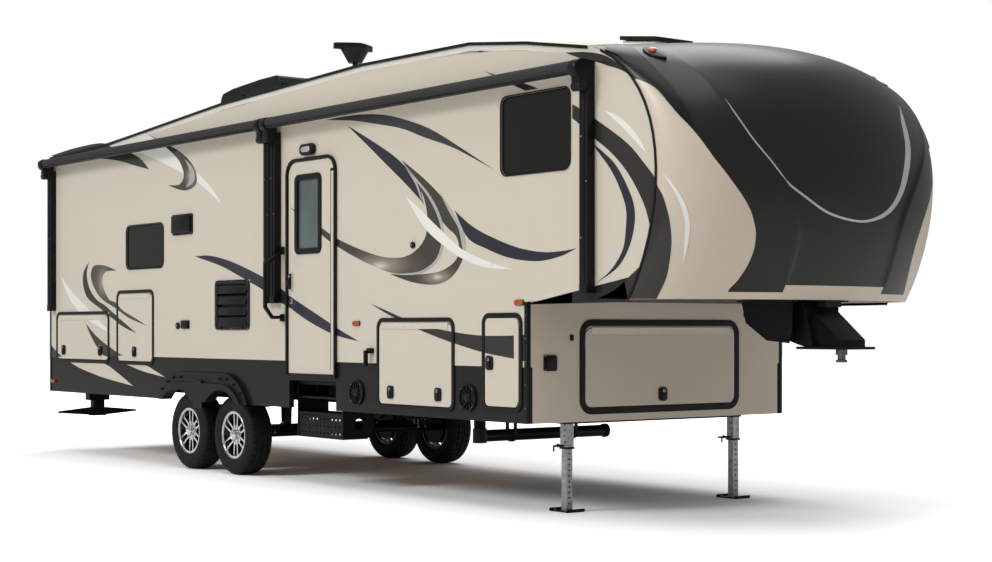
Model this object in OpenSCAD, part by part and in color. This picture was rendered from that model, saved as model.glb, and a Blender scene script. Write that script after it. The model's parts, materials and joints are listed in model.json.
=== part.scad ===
// Fifth wheel travel trailer, parked on its landing legs and wheels.
// Millimetres. +X runs forward to the nose, +Z up, -Y is the entry door side.
// Shapes are drawn from the lower front wall (x = 0) and the centreline, then
// moved so that the middle of the whole trailer's footprint is at the origin.

/* [Show] */
// node to build

/* [Body] */
// outside width of the body
body_w = 2438; // [2200:1:2600]
// rear face of the rear wall
x_rear = -7830; // [-9000:1:-6000]
// laminated wall thickness
wall_t = 45; // [30:1:60]
// lower edge of the skirt
z_skirt = 615; // [500:1:700]
// belt line between skirt and upper wall
z_belt = 993; // [900:1:1100]
// underside of the raised front part
z_nose = 1435; // [1300:1:1600]
// thickness of roof and front cap at the joint
roof_t = 60; // [40:1:90]
// rise of the roof at the centreline
crown = 85; // [40:1:120]

/* [Floors] */
// top of the main floor
z_floor = 888; // [850:1:950]
// top of the storage floor in front
z_hold = 680; // [660:1:720]
// top of the bedroom floor
z_bed = 1545; // [1500:1:1600]
// rear end of the raised bedroom floor
x_bed = -2000; // [-2400:1:-1800]

/* [Running gear] */
// front and rear wheel centres
x_wheel = [-4140, -4952];
// tyre radius
tyre_r = 340; // [300:1:380]
// tyre width
tyre_w = 225; // [180:1:260]
// outer side of a tyre, inside the body's side
tyre_in = 54; // [30:1:100]
// rim radius
rim_r = 205; // [180:1:230]
// wheel spokes, each a pair of bars
spokes = 6; // [5:1:8]
// axle tube radius
axle_r = 30; // [25:1:38]
// frame rails, inside the body's side
rail_in = 419; // [380:1:460]
// how far the wheel-arch trim stands out
fender_t = 60; // [30:1:80]

/* [Opening parts] */
// gap around a door
gap = 6; // [5:0.5:10]
// thickness of a storage door
door_t = 38; // [25:1:45]
// width of a door or window frame
frame_w = 22; // [15:1:40]
// depth of the storage lockers
locker_d = 600; // [400:10:800]
// depth of the slide-out room
slide_d = 900; // [600:10:1000]
// clearance around the slide-out room
slide_gap = 10; // [6:1:20]

/* [Awning] */
// roller centre out from the wall
roller_out = 111; // [90:1:180]
// roller centre height
z_roller = 2915; // [2850:1:2950]
// roller radius
roller_r = 42; // [30:1:50]
// depth of an awning arm
arm_d = 60; // [40:1:80]

/* [Roof] */
// hinge line of the roof vent
x_vent = -243; // [-400:1:-100]
// outside half width and length of the vent's collar
vent_half = [346, 158]; // [100:1:400]
// vent's collar above the roof
vent_up = 25; // [20:1:60]
// antenna place
x_antenna = -4000; // [-4200:1:-3700]
// antenna height above the roof
antenna_h = 505; // [300:5:600]

/* [Front] */
// landing leg centre behind the lower front wall
leg_in = 90; // [60:1:160]
// kingpin centre
x_pin = 1670; // [1500:1:1800]
// underside of the kingpin plate
z_pin = 1122; // [1000:1:1250]

/* [Hidden] */
$fn = 32;
half = body_w / 2;
inner = half - wall_t;
bumper_x = x_rear - 120;
plate_x = x_pin + 180;
mid_x = (bumper_x + plate_x) / 2;
handle_out = 181;
mid_y = (fender_t - handle_out) / 2;
rail_y = half - rail_in;
y_tyre = half - tyre_in;
y_roller = -half - roller_out;
z_under = z_floor - 38;
arch_r = tyre_r + 45;
z_deck = z_nose + 10;

// roof edge heights along the side, from the rear to the front cap
ROOF = [[x_rear, 2998], [-6440, 3030], [-5720, 3085], [-4230, 3186], [-2470, 3246],
        [-2020, 3262], [-640, 3246], [0, 3170], [620, 3065]];
// curves of the front cap in side view: its joint with the side wall, and the centreline
SEAM = [[1010, z_nose], [1366, 1934], [1444, 2821], [620, 3065]];
NOSE = [[1620, z_nose], [1820, 1700], [2290, 3240], [620, 3065 + crown]];
NOSE_IN = [[1580, z_nose], [1780, 1710], [2230, 3190], [620, 3065 + crown - roof_t]];

// openings in the door side: name, x0, x1, z0, z1, corner radius
DOOR_SIDE = [["entry", -3092, -2400, z_floor, 2588, 110],
             ["rear locker", -7638, -6466, 945, 1377, 45],
             ["middle locker", -6240, -5525, 943, 1570, 45],
             ["hold", -1775, -850, 690, 1290, 45],
             ["gas", -465, -90, 716, 1330, 45],
             ["front window", -280, 447, 2290, 2820, 60],
             ["rear window", -6060, -5305, 1810, 2210, 60],
             ["small vent", -5100, -4750, 2100, 2255, 8],
             ["fridge vent", -4300, -3740, 1256, 1650, 30]];
// openings in the off side
OFF_SIDE = [["slide room", -5980, -2380, 940, 2760, 12],
            ["hold", -1775, -850, 690, 1290, 45],
            ["front window", -280, 447, 2290, 2820, 60],
            ["rear window", -7350, -6500, 1810, 2210, 60]];
// door in the lower front wall, in the same columns, seen from the front
FRONT = [["hold", -720, 720, 707, 1259, 60]];
// window in the rear wall, and in the slide-out room
REAR = [["window", -450, 450, 1900, 2350, 60]];
SLIDE = [["window", -4700, -3600, 1500, 2150, 60]];

// ends of the entry steps
STEP = [-3077, -2394];

function bez(p, t) = pow(1 - t, 3) * p[0] + 3 * pow(1 - t, 2) * t * p[1]
                   + 3 * (1 - t) * t * t * p[2] + pow(t, 3) * p[3];
function rise(y) = abs(y) >= inner ? 0 : 1 - pow(y / inner, 2);
function seam_line() = [for (i = [0:18]) bez(SEAM, i / 18)];
function roof_z(x) = lookup(x, ROOF) + crown;
function along(points, i) = let (a = points[max(i - 1, 0)], b = points[min(i + 1, len(points) - 1)])
    (b - a) / norm(b - a);
function ribbon(points, w) = concat(
    [for (i = [0:len(points) - 1]) let (d = along(points, i)) points[i] + [-d[1], d[0]] * w / 2],
    [for (i = [len(points) - 1:-1:0]) let (d = along(points, i)) points[i] - [-d[1], d[0]] * w / 2]);
function vent_tilt() = atan((roof_z(x_vent + 7) - roof_z(x_vent + 353)) / 346);
function hole(list, name) = [for (r = list) if (r[0] == name) r][0];

// closed sheet between two grids of points, rows first
module sheet(outer, inner) {
    n = len(outer);
    m = len(outer[0]);
    pts = concat([for (r = outer) for (p = r) p], [for (r = inner) for (p = r) p]);
    k = n * m;
    faces = concat(
        [for (i = [0:n - 2]) for (j = [0:m - 2]) let (a = i * m + j)
            each [[a, a + 1, a + m + 1], [a, a + m + 1, a + m]]],
        [for (i = [0:n - 2]) for (j = [0:m - 2]) let (a = k + i * m + j)
            each [[a, a + m + 1, a + 1], [a, a + m, a + m + 1]]],
        [for (j = [0:m - 2]) each [[j, k + j, k + j + 1], [j, k + j + 1, j + 1]]],
        [for (j = [0:m - 2]) let (a = (n - 1) * m + j)
            each [[a, k + a + 1, k + a], [a, a + 1, k + a + 1]]],
        [for (i = [0:n - 2]) let (a = i * m)
            each [[a, k + a + m, k + a], [a, a + m, k + a + m]]],
        [for (i = [0:n - 2]) let (a = i * m + m - 1)
            each [[a, k + a, k + a + m], [a, k + a + m, a + m]]]);
    polyhedron(pts, faces, convexity = 6);
}

module box(a, b) {
    translate(a) cube(b - a);
}

// side-view shape given a thickness, between two distances from the centreline
module side_panel(y0, y1) {
    translate([0, y1, 0]) rotate([90, 0, 0]) linear_extrude(y1 - y0) children();
}

module side_plate(y0, y1, points) {
    side_panel(y0, y1) polygon(points);
}

// rectangle with round corners
module soft_rect(x0, z0, x1, z1, r) {
    translate([x0 + r, z0]) square([x1 - x0 - 2 * r, z1 - z0]);
    translate([x0, z0 + r]) square([x1 - x0, z1 - z0 - 2 * r]);
    for (x = [x0 + r, x1 - r], z = [z0 + r, z1 - r])
        translate([x, z]) circle(r);
}

// outline of a listed opening, made larger or smaller all round; the entry has square lower corners
module outline(r, grow = 0) {
    soft_rect(r[1] - grow, r[3] - grow, r[2] + grow, r[4] + grow, max(r[5] + grow, 2));
    if (r[0] == "entry")
        translate([r[1] - grow, r[3] - grow]) square([r[2] - r[1] + 2 * grow, 400]);
}

module opening_list(list) {
    for (r = list)
        side_panel(-half - 10, -inner + 10) outline(r);
}

// frame around an opening, let out where its hinge turns
module ring(r, top = 0, front = 0, w = frame_w) {
    difference() {
        outline([r[0], r[1], r[2] + front, r[3], r[4] + top, r[5]], w);
        outline([r[0], r[1], r[2] + front, r[3], r[4] + top, r[5]]);
    }
}

// stands a piece drawn for the door side on the front of the lower front wall
module on_front() {
    translate([-half, 0, 0]) rotate([0, 0, 90]) children();
}

// stands a piece drawn for the door side on the rear wall
module on_rear() {
    translate([x_rear + half, 0, 0]) rotate([0, 0, -90]) children();
}

module wheel_cut() {
    for (x = x_wheel)
        side_panel(-half - 10, -inner + 10) translate([x, tyre_r]) circle(arch_r + 10);
}

module wall_outline() {
    polygon(concat([[x_rear, z_belt], [0, z_belt], [0, z_nose]], seam_line(), [[620, 3065 - roof_t]],
                   [for (i = [1:len(ROOF) - 1]) ROOF[len(ROOF) - 1 - i] - [0, roof_t]]));
}

module upper_wall(list) {
    difference() {
        translate([0, -inner, 0]) rotate([90, 0, 0]) linear_extrude(wall_t) wall_outline();
        opening_list(list);
    }
}

module skirt_wall(list) {
    difference() {
        box([x_rear, -half, z_skirt], [0, -inner, z_belt]);
        opening_list(list);
        wheel_cut();
    }
}

module door_side_wall() {
    color([0.83, 0.80, 0.74]) upper_wall(DOOR_SIDE);
}

module off_side_wall() {
    color([0.83, 0.80, 0.74]) mirror([0, 1, 0]) upper_wall(OFF_SIDE);
}

module door_side_skirt() {
    color([0.18, 0.18, 0.16]) difference() {
        skirt_wall(DOOR_SIDE);
        box([STEP[0] - 10, -half - 1, z_skirt - 1], [STEP[1] + 10, -inner + 1, z_under - 12]);
    }
}

module off_side_skirt() {
    color([0.18, 0.18, 0.16]) mirror([0, 1, 0]) skirt_wall(OFF_SIDE);
}

module rear_wall() {
    top = ROOF[0][1] - roof_t;
    color([0.83, 0.80, 0.74]) translate([x_rear, 0, 0]) rotate([90, 0, 90]) linear_extrude(wall_t)
        difference() {
            polygon(concat([[-inner, z_skirt], [inner, z_skirt]],
                           [for (i = [0:10]) let (y = inner - i * inner / 5) [y, top + crown * rise(y)]]));
            outline(REAR[0]);
        }
}

module roof() {
    function row(p, drop) = [for (j = [0:12]) let (y = j == 0 ? -half : j == 12 ? half : inner * (j - 6) / 5)
                             [p[0], y, p[1] - drop + crown * rise(y)]];
    color([0.93, 0.92, 0.89]) difference() {
        sheet([for (p = ROOF) row(p, 0)], [for (p = ROOF) row(p, roof_t)]);
        on_vent() vent_shaft();
        box([-5460, -190, 3000], [-5080, 190, 3500]);
    }
}

// half angle of the cap's stepped-back centre panel, from its foot (0) to its top (1)
PANEL = [[0, 21.2], [0.24, 21], [0.31, 22.7], [0.37, 26.3], [0.445, 33.9], [0.51, 41], [0.58, 45.7],
         [0.65, 49], [0.74, 50.6], [1, 52]];

module front_cap() {
    function ribs(e) = concat([0, e / 3, e * 2 / 3, e, e + 1], [for (i = [1:9]) e + 1 + (89 - e) * i / 9]);
    function turns(r) = concat([for (i = [len(r) - 1:-1:1]) -r[i]], r);
    function row(t, centre, w) = let (s = bez(SEAM, t), c = bez(centre, t), e = lookup(t, PANEL))
        [for (a = turns(ribs(e)))
            [s[0] + (c[0] - s[0] - (abs(a) < e + 0.5 ? 14 * min(1, 6 * (1 - t)) : 0)) * cos(a), w * sin(a),
             s[1] + (c[1] - s[1]) * pow(cos(a), 2)]];
    color([0.84, 0.79, 0.72])
        sheet([for (i = [18:-1:0]) row(i / 18, NOSE, half)],
              [for (i = [18:-1:0]) row(i / 18, NOSE_IN, inner)]);
}

module nose_outline() {
    polygon(concat([[0, -inner], [0, inner]],
                   [for (j = [12:-1:-12]) let (a = j * 7.5) [1010 + 552 * cos(a), (inner - 1) * sin(a)]]));
}

module nose_underside() {
    color([0.12, 0.12, 0.12]) translate([0, 0, z_nose]) linear_extrude(10) nose_outline();
}

module bedroom_floor() {
    color([0.62, 0.50, 0.38]) {
        translate([0, 0, z_bed - 20]) linear_extrude(20) nose_outline();
        box([x_bed, -inner, z_bed - 20], [0, inner, z_bed]);
    }
}

module main_floor() {
    color([0.62, 0.50, 0.38]) box([x_rear + wall_t, -inner, z_under], [x_bed, inner, z_floor]);
}

module hold_floor() {
    color([0.30, 0.30, 0.30]) box([x_bed, -inner, z_hold - 20], [-wall_t, inner, z_hold]);
}

module bulkhead() {
    color([0.80, 0.76, 0.70]) box([x_bed - 40, -inner, z_floor], [x_bed, inner, z_bed]);
    color([0.80, 0.76, 0.70]) box([x_bed, -inner, z_hold], [x_bed + 20, inner, z_floor]);
}

module lower_front_wall() {
    color([0.78, 0.72, 0.63]) difference() {
        box([-wall_t, -inner, z_skirt], [0, inner, z_nose]);
        on_front() opening_list(FRONT);
    }
}

module i_beam(x0, x1, y, z0, z1) {
    box([x0, y - 45, z0], [x1, y + 45, z0 + 8]);
    box([x0, y - 4, z0], [x1, y + 4, z1]);
    box([x0, y - 45, z1 - 8], [x1, y + 45, z1]);
}

module chassis() {
    color([0.10, 0.10, 0.10]) {
        for (s = [-1, 1])
            i_beam(x_rear + wall_t, x_bed, s * rail_y, 650, z_under);
        for (x = [x_rear + wall_t, -6900, -5700, -3300, -2200])
            box([x, -rail_y, 700], [x + 50, rail_y, 800]);
    }
}

// brackets from the rails out to the walls
module outriggers() {
    color([0.10, 0.10, 0.10])
        for (s = [-1, 1], x = [-7600, -6700, -5700, -3400, -2250])
            translate([x, 0, 0]) rotate([90, 0, 90]) linear_extrude(6)
                polygon([[s * (rail_y + 4), 690], [s * (rail_y + 4), z_under - 8],
                         [s * (rail_y + 45), z_under - 8], [s * (rail_y + 45), z_under],
                         [s * (inner - 2), z_under], [s * (inner - 2), z_under - 45]]);
}

module slide_runners() {
    color([0.10, 0.10, 0.10])
        for (x = [-5450, -2950])
            box([x, 320, z_floor], [x + 80, inner - 14, slide_base() - 0.3]);
}

// tubes under the storage hold
module hold_frame() {
    color([0.10, 0.10, 0.10]) {
        for (s = [-1, 1])
            box([x_bed, s * rail_y - 40, 600], [-wall_t, s * rail_y + 40, z_hold - 20]);
        for (x = [-1300, -700, -wall_t - 60])
            box([x, -rail_y, 600], [x + 50, rail_y, z_hold - 20]);
    }
}

// posts and deck beams of the raised front part
module nose_frame() {
    color([0.10, 0.10, 0.10]) {
        for (s = [-1, 1]) {
            box([-wall_t - 90, s * (rail_y + 100) - 40, z_hold], [-wall_t, s * (rail_y + 100) + 40, z_deck]);
            box([x_bed + 20, s * (rail_y + 100) - 40, z_deck], [-10, s * (rail_y + 100) + 40, z_bed - 20]);
            box([-10, s * 560 - 30, z_deck], [1380, s * 560 + 30, z_bed - 20]);
        }
        for (x = [-60, 600, 1330])
            box([x, x < 0 ? -rail_y - 100 : -560, z_deck], [x + 50, x < 0 ? rail_y + 100 : 560, z_bed - 20]);
    }
}

// hinge barrel and leaf along the top of a door, 0.3 mm off the wall
module top_hinge(x0, x1, z) {
    translate([x0, -half - 6.3, z]) rotate([0, 90, 0]) cylinder(h = x1 - x0, r = 6);
    box([x0, -half - 12, z - 40], [x1, -half - 6, z]);
}

// hinge barrel and leaf along the front edge of a door
module side_hinge(x, z0, z1) {
    translate([x, -half - 6.3, z0]) cylinder(h = z1 - z0, r = 6);
    box([x - 40, -half - 12, z0], [x, -half - 6, z1]);
}

module entry_door() {
    r = hole(DOOR_SIDE, "entry");
    color([0.80, 0.77, 0.71]) {
        difference() {
            side_panel(-half - 6, -half + 34) outline(r, -gap);
            side_panel(-half - 20, -half + 60) soft_rect(-2970, 1860, -2600, 2465, 30);
        }
        side_hinge(r[2], r[3] + 20, r[4] - r[5]);
        box([r[1] + 30, -half - 24, 1560], [r[1] + 80, -half - 6, 1700]);
    }
}

module entry_door_glass() {
    color([0.35, 0.38, 0.36, 0.6]) side_panel(-half + 4, -half + 10) soft_rect(-2970, 1860, -2600, 2465, 30);
}

// thumb latch near the lower edge of a door
module latch(x, z) {
    side_panel(-half - 18, -half - 6) soft_rect(x - 28, z, x + 28, z + 105, 14);
}

// top-hinged storage door with rounded corners, from its opening
module locker_door(r) {
    side_panel(-half - 6, -half - 6 + door_t) outline(r, -gap);
    for (x = (r[2] - r[1]) > 800 ? [r[1] + 160, r[2] - 160] : [(r[1] + r[2]) / 2])
        latch(x, r[3] + 40);
    top_hinge(r[1] + r[5], r[2] - r[5], r[4]);
}

module rear_locker_door() {
    color([0.83, 0.80, 0.74]) locker_door(hole(DOOR_SIDE, "rear locker"));
}

module middle_locker_door() {
    color([0.83, 0.80, 0.74]) locker_door(hole(DOOR_SIDE, "middle locker"));
}

module hold_door() {
    color([0.83, 0.80, 0.74]) locker_door(hole(DOOR_SIDE, "hold"));
}

module off_side_hold_door() {
    color([0.83, 0.80, 0.74]) mirror([0, 1, 0]) locker_door(hole(OFF_SIDE, "hold"));
}

module gas_door() {
    r = hole(DOOR_SIDE, "gas");
    color([0.83, 0.80, 0.74]) {
        side_panel(-half - 6, -half - 6 + door_t) outline(r, -gap);
        latch(r[1] + 62, 965);
        side_hinge(r[2], r[3] + r[5], r[4] - r[5]);
    }
}

module front_door() {
    r = FRONT[0];
    color([0.78, 0.72, 0.63]) on_front() {
        side_panel(-half - 6, -half - 6 + door_t) outline(r, -gap);
        latch(0, r[3] + 30);
        top_hinge(r[1] + r[5], r[2] - r[5], r[4]);
    }
}

// open-fronted box behind a locker door
module locker_box(r, depth) {
    difference() {
        box([r[1] - 15, -inner, r[3] - 15], [r[2] + 15, -inner + depth, r[4] + 15]);
        box([r[1], -inner - 1, r[3]], [r[2], -inner + depth - 12, r[4]]);
    }
}

module lockers() {
    color([0.70, 0.68, 0.64]) {
        locker_box(hole(DOOR_SIDE, "rear locker"), locker_d);
        locker_box(hole(DOOR_SIDE, "middle locker"), locker_d);
    }
}

module window_pane(r) {
    side_panel(-half + 6, -half + 14) outline(r);
}

module windows() {
    color([0.08, 0.09, 0.10, 0.6]) {
        for (n = ["front window", "rear window"]) {
            window_pane(hole(DOOR_SIDE, n));
            mirror([0, 1, 0]) window_pane(hole(OFF_SIDE, n));
        }
        on_rear() window_pane(REAR[0]);
    }
}

module window_frames() {
    color([0.05, 0.05, 0.05]) {
        for (n = ["front window", "rear window"]) {
            side_panel(-half - 10, -half) ring(hole(DOOR_SIDE, n), 0, 0, 9);
            mirror([0, 1, 0]) side_panel(-half - 10, -half) ring(hole(OFF_SIDE, n), 0, 0, 9);
        }
        on_rear() side_panel(-half - 10, -half) ring(REAR[0], 0, 0, 9);
        side_panel(-half - 24, -half) ring(hole(DOOR_SIDE, "entry"), 0, 12);
    }
}

module door_frames() {
    color([0.05, 0.05, 0.05]) {
        for (n = ["rear locker", "middle locker", "hold"])
            side_panel(-half - 10, -half) ring(hole(DOOR_SIDE, n), 12, 0, frame_w + 8);
        side_panel(-half - 10, -half) ring(hole(DOOR_SIDE, "gas"), 0, 12, frame_w + 8);
        mirror([0, 1, 0]) side_panel(-half - 10, -half) ring(hole(OFF_SIDE, "hold"), 12, 0, frame_w + 8);
        on_front() side_panel(-half - 10, -half) ring(FRONT[0], 12, 0, 2 * frame_w);
    }
}

// gutters under the roof edge, the joint strip of the front cap and the corner strips
module edge_trims() {
    color([0.07, 0.07, 0.07])
        for (s = [0, 1]) mirror([0, s, 0]) {
            side_plate(-half - 14, -half, ribbon([for (p = ROOF) p - [0, 12]], 22));
            side_plate(-half - 7, -half, ribbon([for (i = [0:17]) bez(SEAM, i / 18)], 18));
            box([0, -half - 5, z_skirt], [5, -half + 28, z_nose - 4]);
            box([-28, -half - 5, z_skirt], [0, -half, z_nose - 4]);
            box([x_rear - 5, -half - 5, z_skirt], [x_rear, -half + 28, ROOF[0][1] - 40]);
            box([x_rear, -half - 5, z_skirt], [x_rear + 28, -half, ROOF[0][1] - 40]);
        }
}

// louvred vent cover in an opening, with its slats sloped to shed rain
module louvre(r, slats) {
    pitch = (r[4] - r[3] - 40) / slats;
    side_panel(-half - 14, -half) difference() {
        outline(r, 14);
        soft_rect(r[1] + 24, r[3] + 20, r[2] - 24, r[4] - 20, 4);
    }
    side_panel(-half + 20, -half + 26) outline(r);
    side_panel(-half, -half + 20) difference() {
        outline(r);
        soft_rect(r[1] + 24, r[3] + 20, r[2] - 24, r[4] - 20, 4);
    }
    for (i = [0:slats - 1])
        translate([r[1] + 20, -half, r[3] + 20 + i * pitch]) rotate([90, 0, 90])
            linear_extrude(r[2] - r[1] - 40)
                polygon([[-12, 4], [18, pitch * 0.55], [18, pitch * 0.55 + 5], [-12, 10]]);
}

module appliance_vents() {
    color([0.07, 0.07, 0.07]) {
        louvre(hole(DOOR_SIDE, "fridge vent"), 6);
        louvre(hole(DOOR_SIDE, "small vent"), 3);
    }
}

// round covers on the side: x, z, radius
COVERS = [[-2080, 765, 96], [-658, 770, 96], [-1330, 1860, 24], [-5013, 1277, 30]];

module wall_fittings() {
    color([0.07, 0.07, 0.07]) {
        for (c = COVERS) {
            translate([c[0], -half, c[1]]) rotate([90, 0, 0]) difference() {
                cylinder(h = 14, r = c[2]);
                if (c[2] > 50)
                    translate([0, 0, 6]) difference() {
                        cylinder(h = 20, r = c[2] - 12);
                        translate([0, 0, -1]) cylinder(h = 22, r = 30);
                    }
            }
        }
        side_panel(-half - 14, -half) soft_rect(-4940, 1250, -4800, 1325, 8);
        side_panel(-half - 30, -half) soft_rect(-1912, 1066, -1850, 1106, 6);
        side_panel(-half - 60, -half - 30) soft_rect(-1906, 970, -1886, 1090, 6);
        on_front() {
            side_panel(-half - 14, -half) soft_rect(-1080, 966, -970, 1073, 10);
            side_panel(-half - 8, -half) soft_rect(-850, 1170, -820, 1210, 3);
        }
        box([1530, -70, z_nose - 45], [1605, 70, z_nose]);
    }
}

module grab_handle() {
    reach = half + handle_out;
    color([0.06, 0.06, 0.06]) {
        translate([-3195, 0, 0]) rotate([90, 0, 90]) linear_extrude(26) difference() {
            polygon([[-half, 1330], [-half - 110, 1330], [-reach, 1420], [-reach, 1780], [-half, 1895]]);
            polygon([[-half + 1, 1356], [-half - 100, 1356], [-reach + 26, 1430], [-reach + 26, 1762],
                     [-half + 1, 1868]]);
        }
        for (z = [1310, 1855])
            box([-3206, -half - 20, z], [-3158, -half, z + 60]);
    }
}

// double step folded up under the door, its lower tread standing on edge in front
module entry_steps() {
    y0 = -half + 70;
    y1 = y0 + 290;
    a = STEP[0] + 12;
    b = STEP[1] - 12;
    color([0.07, 0.07, 0.07]) {
        for (x = [STEP[0], b])
            translate([x, 0, 0]) rotate([90, 0, 90]) linear_extrude(12) difference() {
                polygon([[y0, 385], [y1 - 60, 385], [y1, 470], [y1, z_under], [y0, z_under]]);
                translate([y0 + 150, 500]) circle(45);
                translate([y0 + 150, 760]) circle(38);
            }
        box([a, y0, 805], [b, y0 + 250, 830]);
        box([a, y0, 695], [b, y0 + 250, 712]);
        box([a, y0, 572], [b, y0 + 250, 586]);
        box([a, y0, z_under - 12], [b, y0 + 30, z_under]);
        box([a, y0, 385], [b, y0 + 60, 393]);
        difference() {
            box([a, y0 + 8, 393], [b, y0 + 14, 572]);
            for (i = [0:10], j = [0:2])
                translate([a + 50 + i * (b - a - 100) / 10, y0 + 20, 425 + j * 55]) rotate([90, 0, 0])
                    cylinder(h = 20, r = 9, $fn = 12);
        }
    }
}

function slide_base() = hole(OFF_SIDE, "slide room")[3] + slide_gap;

module slide_room() {
    r = hole(OFF_SIDE, "slide room");
    a = [r[1] + slide_gap, r[3] + slide_gap];
    b = [r[2] - slide_gap, r[4] - slide_gap];
    color([0.83, 0.80, 0.74]) difference() {
        union() {
            box([a[0], half + 5 - slide_d, a[1]], [b[0], half + 5, b[1]]);
            mirror([0, 1, 0]) side_panel(-half - 30, -half - 5) outline(r, 40);
        }
        box([a[0] + 30, half - slide_d - 5, a[1] + 30], [b[0] - 30, half - 30, b[1] - 30]);
        mirror([0, 1, 0]) side_panel(-half - 40, -inner) outline(SLIDE[0]);
    }
}

module slide_window() {
    color([0.08, 0.09, 0.10, 0.6]) mirror([0, 1, 0]) {
        side_panel(-half - 18, -half - 10) outline(SLIDE[0]);
        side_panel(-half - 38, -half - 30) ring(SLIDE[0]);
        side_panel(-half - 30, -half - 18) difference() {
            outline(SLIDE[0]);
            outline(SLIDE[0], -8);
        }
    }
}

// awning rollers: x0, x1
ROLLERS = [[-7757, -3322], [-3299, 680]];
// awning arms: rear edge, lower end, place of the roller bracket
ARMS = [[-7770, 1430, 0], [-3402, 1460, 71], [-3301, 1460, 0], [608, 1480, 71]];

module awning_rollers() {
    color([0.05, 0.05, 0.05])
        for (r = ROLLERS)
            translate([r[0], y_roller, z_roller]) rotate([0, 90, 0]) cylinder(h = r[1] - r[0], r = roller_r);
}

module awning_arms() {
    color([0.05, 0.05, 0.05])
        for (a = ARMS) {
            difference() {
                box([a[0], -half - arm_d, a[1]], [a[0] + 84, -half, z_roller - 70]);
                box([a[0] + 34, -half - arm_d - 1, a[1] - 1], [a[0] + 50, -half - 25, z_roller - 110]);
            }
            translate([a[0] + a[2], 0, 0]) rotate([90, 0, 90]) linear_extrude(13)
                polygon([[-half, z_roller - 100], [-half - arm_d, z_roller - 100],
                         [y_roller - 46, z_roller - 40], [y_roller - 50, z_roller + 25],
                         [y_roller, z_roller + 52], [-half, z_roller + 40]]);
        }
}

// trim over both wheel arches, with a raised lip and a block between the wheels
module arch_shape(out, up) {
    difference() {
        union() {
            for (x = x_wheel)
                translate([x, tyre_r + up]) circle(out, $fn = 64);
            translate([x_wheel[1], tyre_r]) square([x_wheel[0] - x_wheel[1], out + up]);
        }
        for (x = x_wheel)
            translate([x, tyre_r]) circle(arch_r, $fn = 64);
        translate([x_wheel[1] - out, -200]) square([x_wheel[0] - x_wheel[1] + 2 * out, 200 + z_skirt]);
    }
}

module fender() {
    mid = (x_wheel[0] + x_wheel[1]) / 2;
    color([0.06, 0.06, 0.06]) {
        side_panel(-half - fender_t + 25, -half) arch_shape(arch_r + 75, 70);
        side_panel(-half - fender_t, -half) arch_shape(arch_r + 40, 14);
        side_panel(-half - fender_t, -half) difference() {
            polygon([[mid - 85, 560], [mid + 85, 560], [mid + 60, 800], [mid - 60, 800]]);
            for (x = x_wheel)
                translate([x, tyre_r]) circle(arch_r, $fn = 64);
        }
        for (k = [0, 1], a = [48, 64, 80, 96])
            side_panel(-half - fender_t + 15, -half)
                translate([x_wheel[k], tyre_r + 30] + (arch_r + 70) * [(1 - 2 * k) * cos(a), sin(a)])
                    circle(12);
    }
}

module air_conditioner() {
    w = 350;
    color([0.10, 0.10, 0.10]) {
        side_plate(-w + 40, w - 40, [[-5800, roof_z(-5800) + 0.3], [-5720, roof_z(-5720) + 0.3],
                                     [-4740, roof_z(-4740) + 0.3], [-4740, 3330], [-5800, 3330]]);
        difference() {
            side_plate(-w, w, [[-5840, 3210], [-5840, 3420], [-5822, 3468], [-5790, 3500], [-5600, 3530],
                               [-5080, 3562], [-4790, 3567], [-4735, 3548], [-4706, 3490], [-4690, 3270]]);
            for (s = [0, 1], x = [-5700:60:-5400])
                mirror([0, s, 0]) box([x, -w - 1, 3290], [x + 30, -w + 25, 3320 + (x + 5840) * 0.3]);
        }
    }
}

// places a shape drawn from the hinge line of the roof vent, along the slope of the roof
module on_vent() {
    translate([x_vent, 0, roof_z(x_vent + 7) + vent_up - 7]) rotate([0, vent_tilt(), 0]) children();
}

module vent_lid() {
    x = vent_half[0] + 27;
    y = vent_half[1] + 22;
    color([0.06, 0.06, 0.06]) on_vent() {
        difference() {
            box([-7, -y, 13], [x, y, 41]);
            box([15, -y + 14, 10], [x - 14, y - 14, 29]);
        }
        box([-6.7, -120, 0], [6.7, 120, 15]);
        translate([0, 120, 0]) rotate([90, 0, 0]) cylinder(h = 240, r = 6.7);
    }
}

module vent_collar() {
    color([0.80, 0.80, 0.78]) on_vent() difference() {
        box([7, -vent_half[1], -80], [7 + vent_half[0], vent_half[1], 7]);
        vent_shaft();
    }
}

module vent_shaft() {
    box([22, -vent_half[1] + 15, -300], [vent_half[0] - 8, vent_half[1] - 15, 300]);
}

// plumbing vents and a skylight
module roof_fittings() {
    color([0.85, 0.85, 0.83]) {
        for (x = [-6900, -3450, -1700]) {
            side_plate(-50, 50, [[x - 50, roof_z(x - 50) + 0.3], [x + 50, roof_z(x + 50) + 0.3],
                                 [x + 50, roof_z(x) + 16], [x - 50, roof_z(x) + 16]]);
            translate([x, 0, roof_z(x) + 10]) cylinder(h = 60, r = 38);
            translate([x, 0, roof_z(x) + 66]) cylinder(h = 14, r = 62);
        }
        side_plate(-230, 230, [[-3000, roof_z(-3000) + 0.3], [-2420, roof_z(-2420) + 0.3], [-2440, 3400],
                               [-2520, 3425], [-2900, 3425], [-2980, 3400]]);
    }
}

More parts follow.
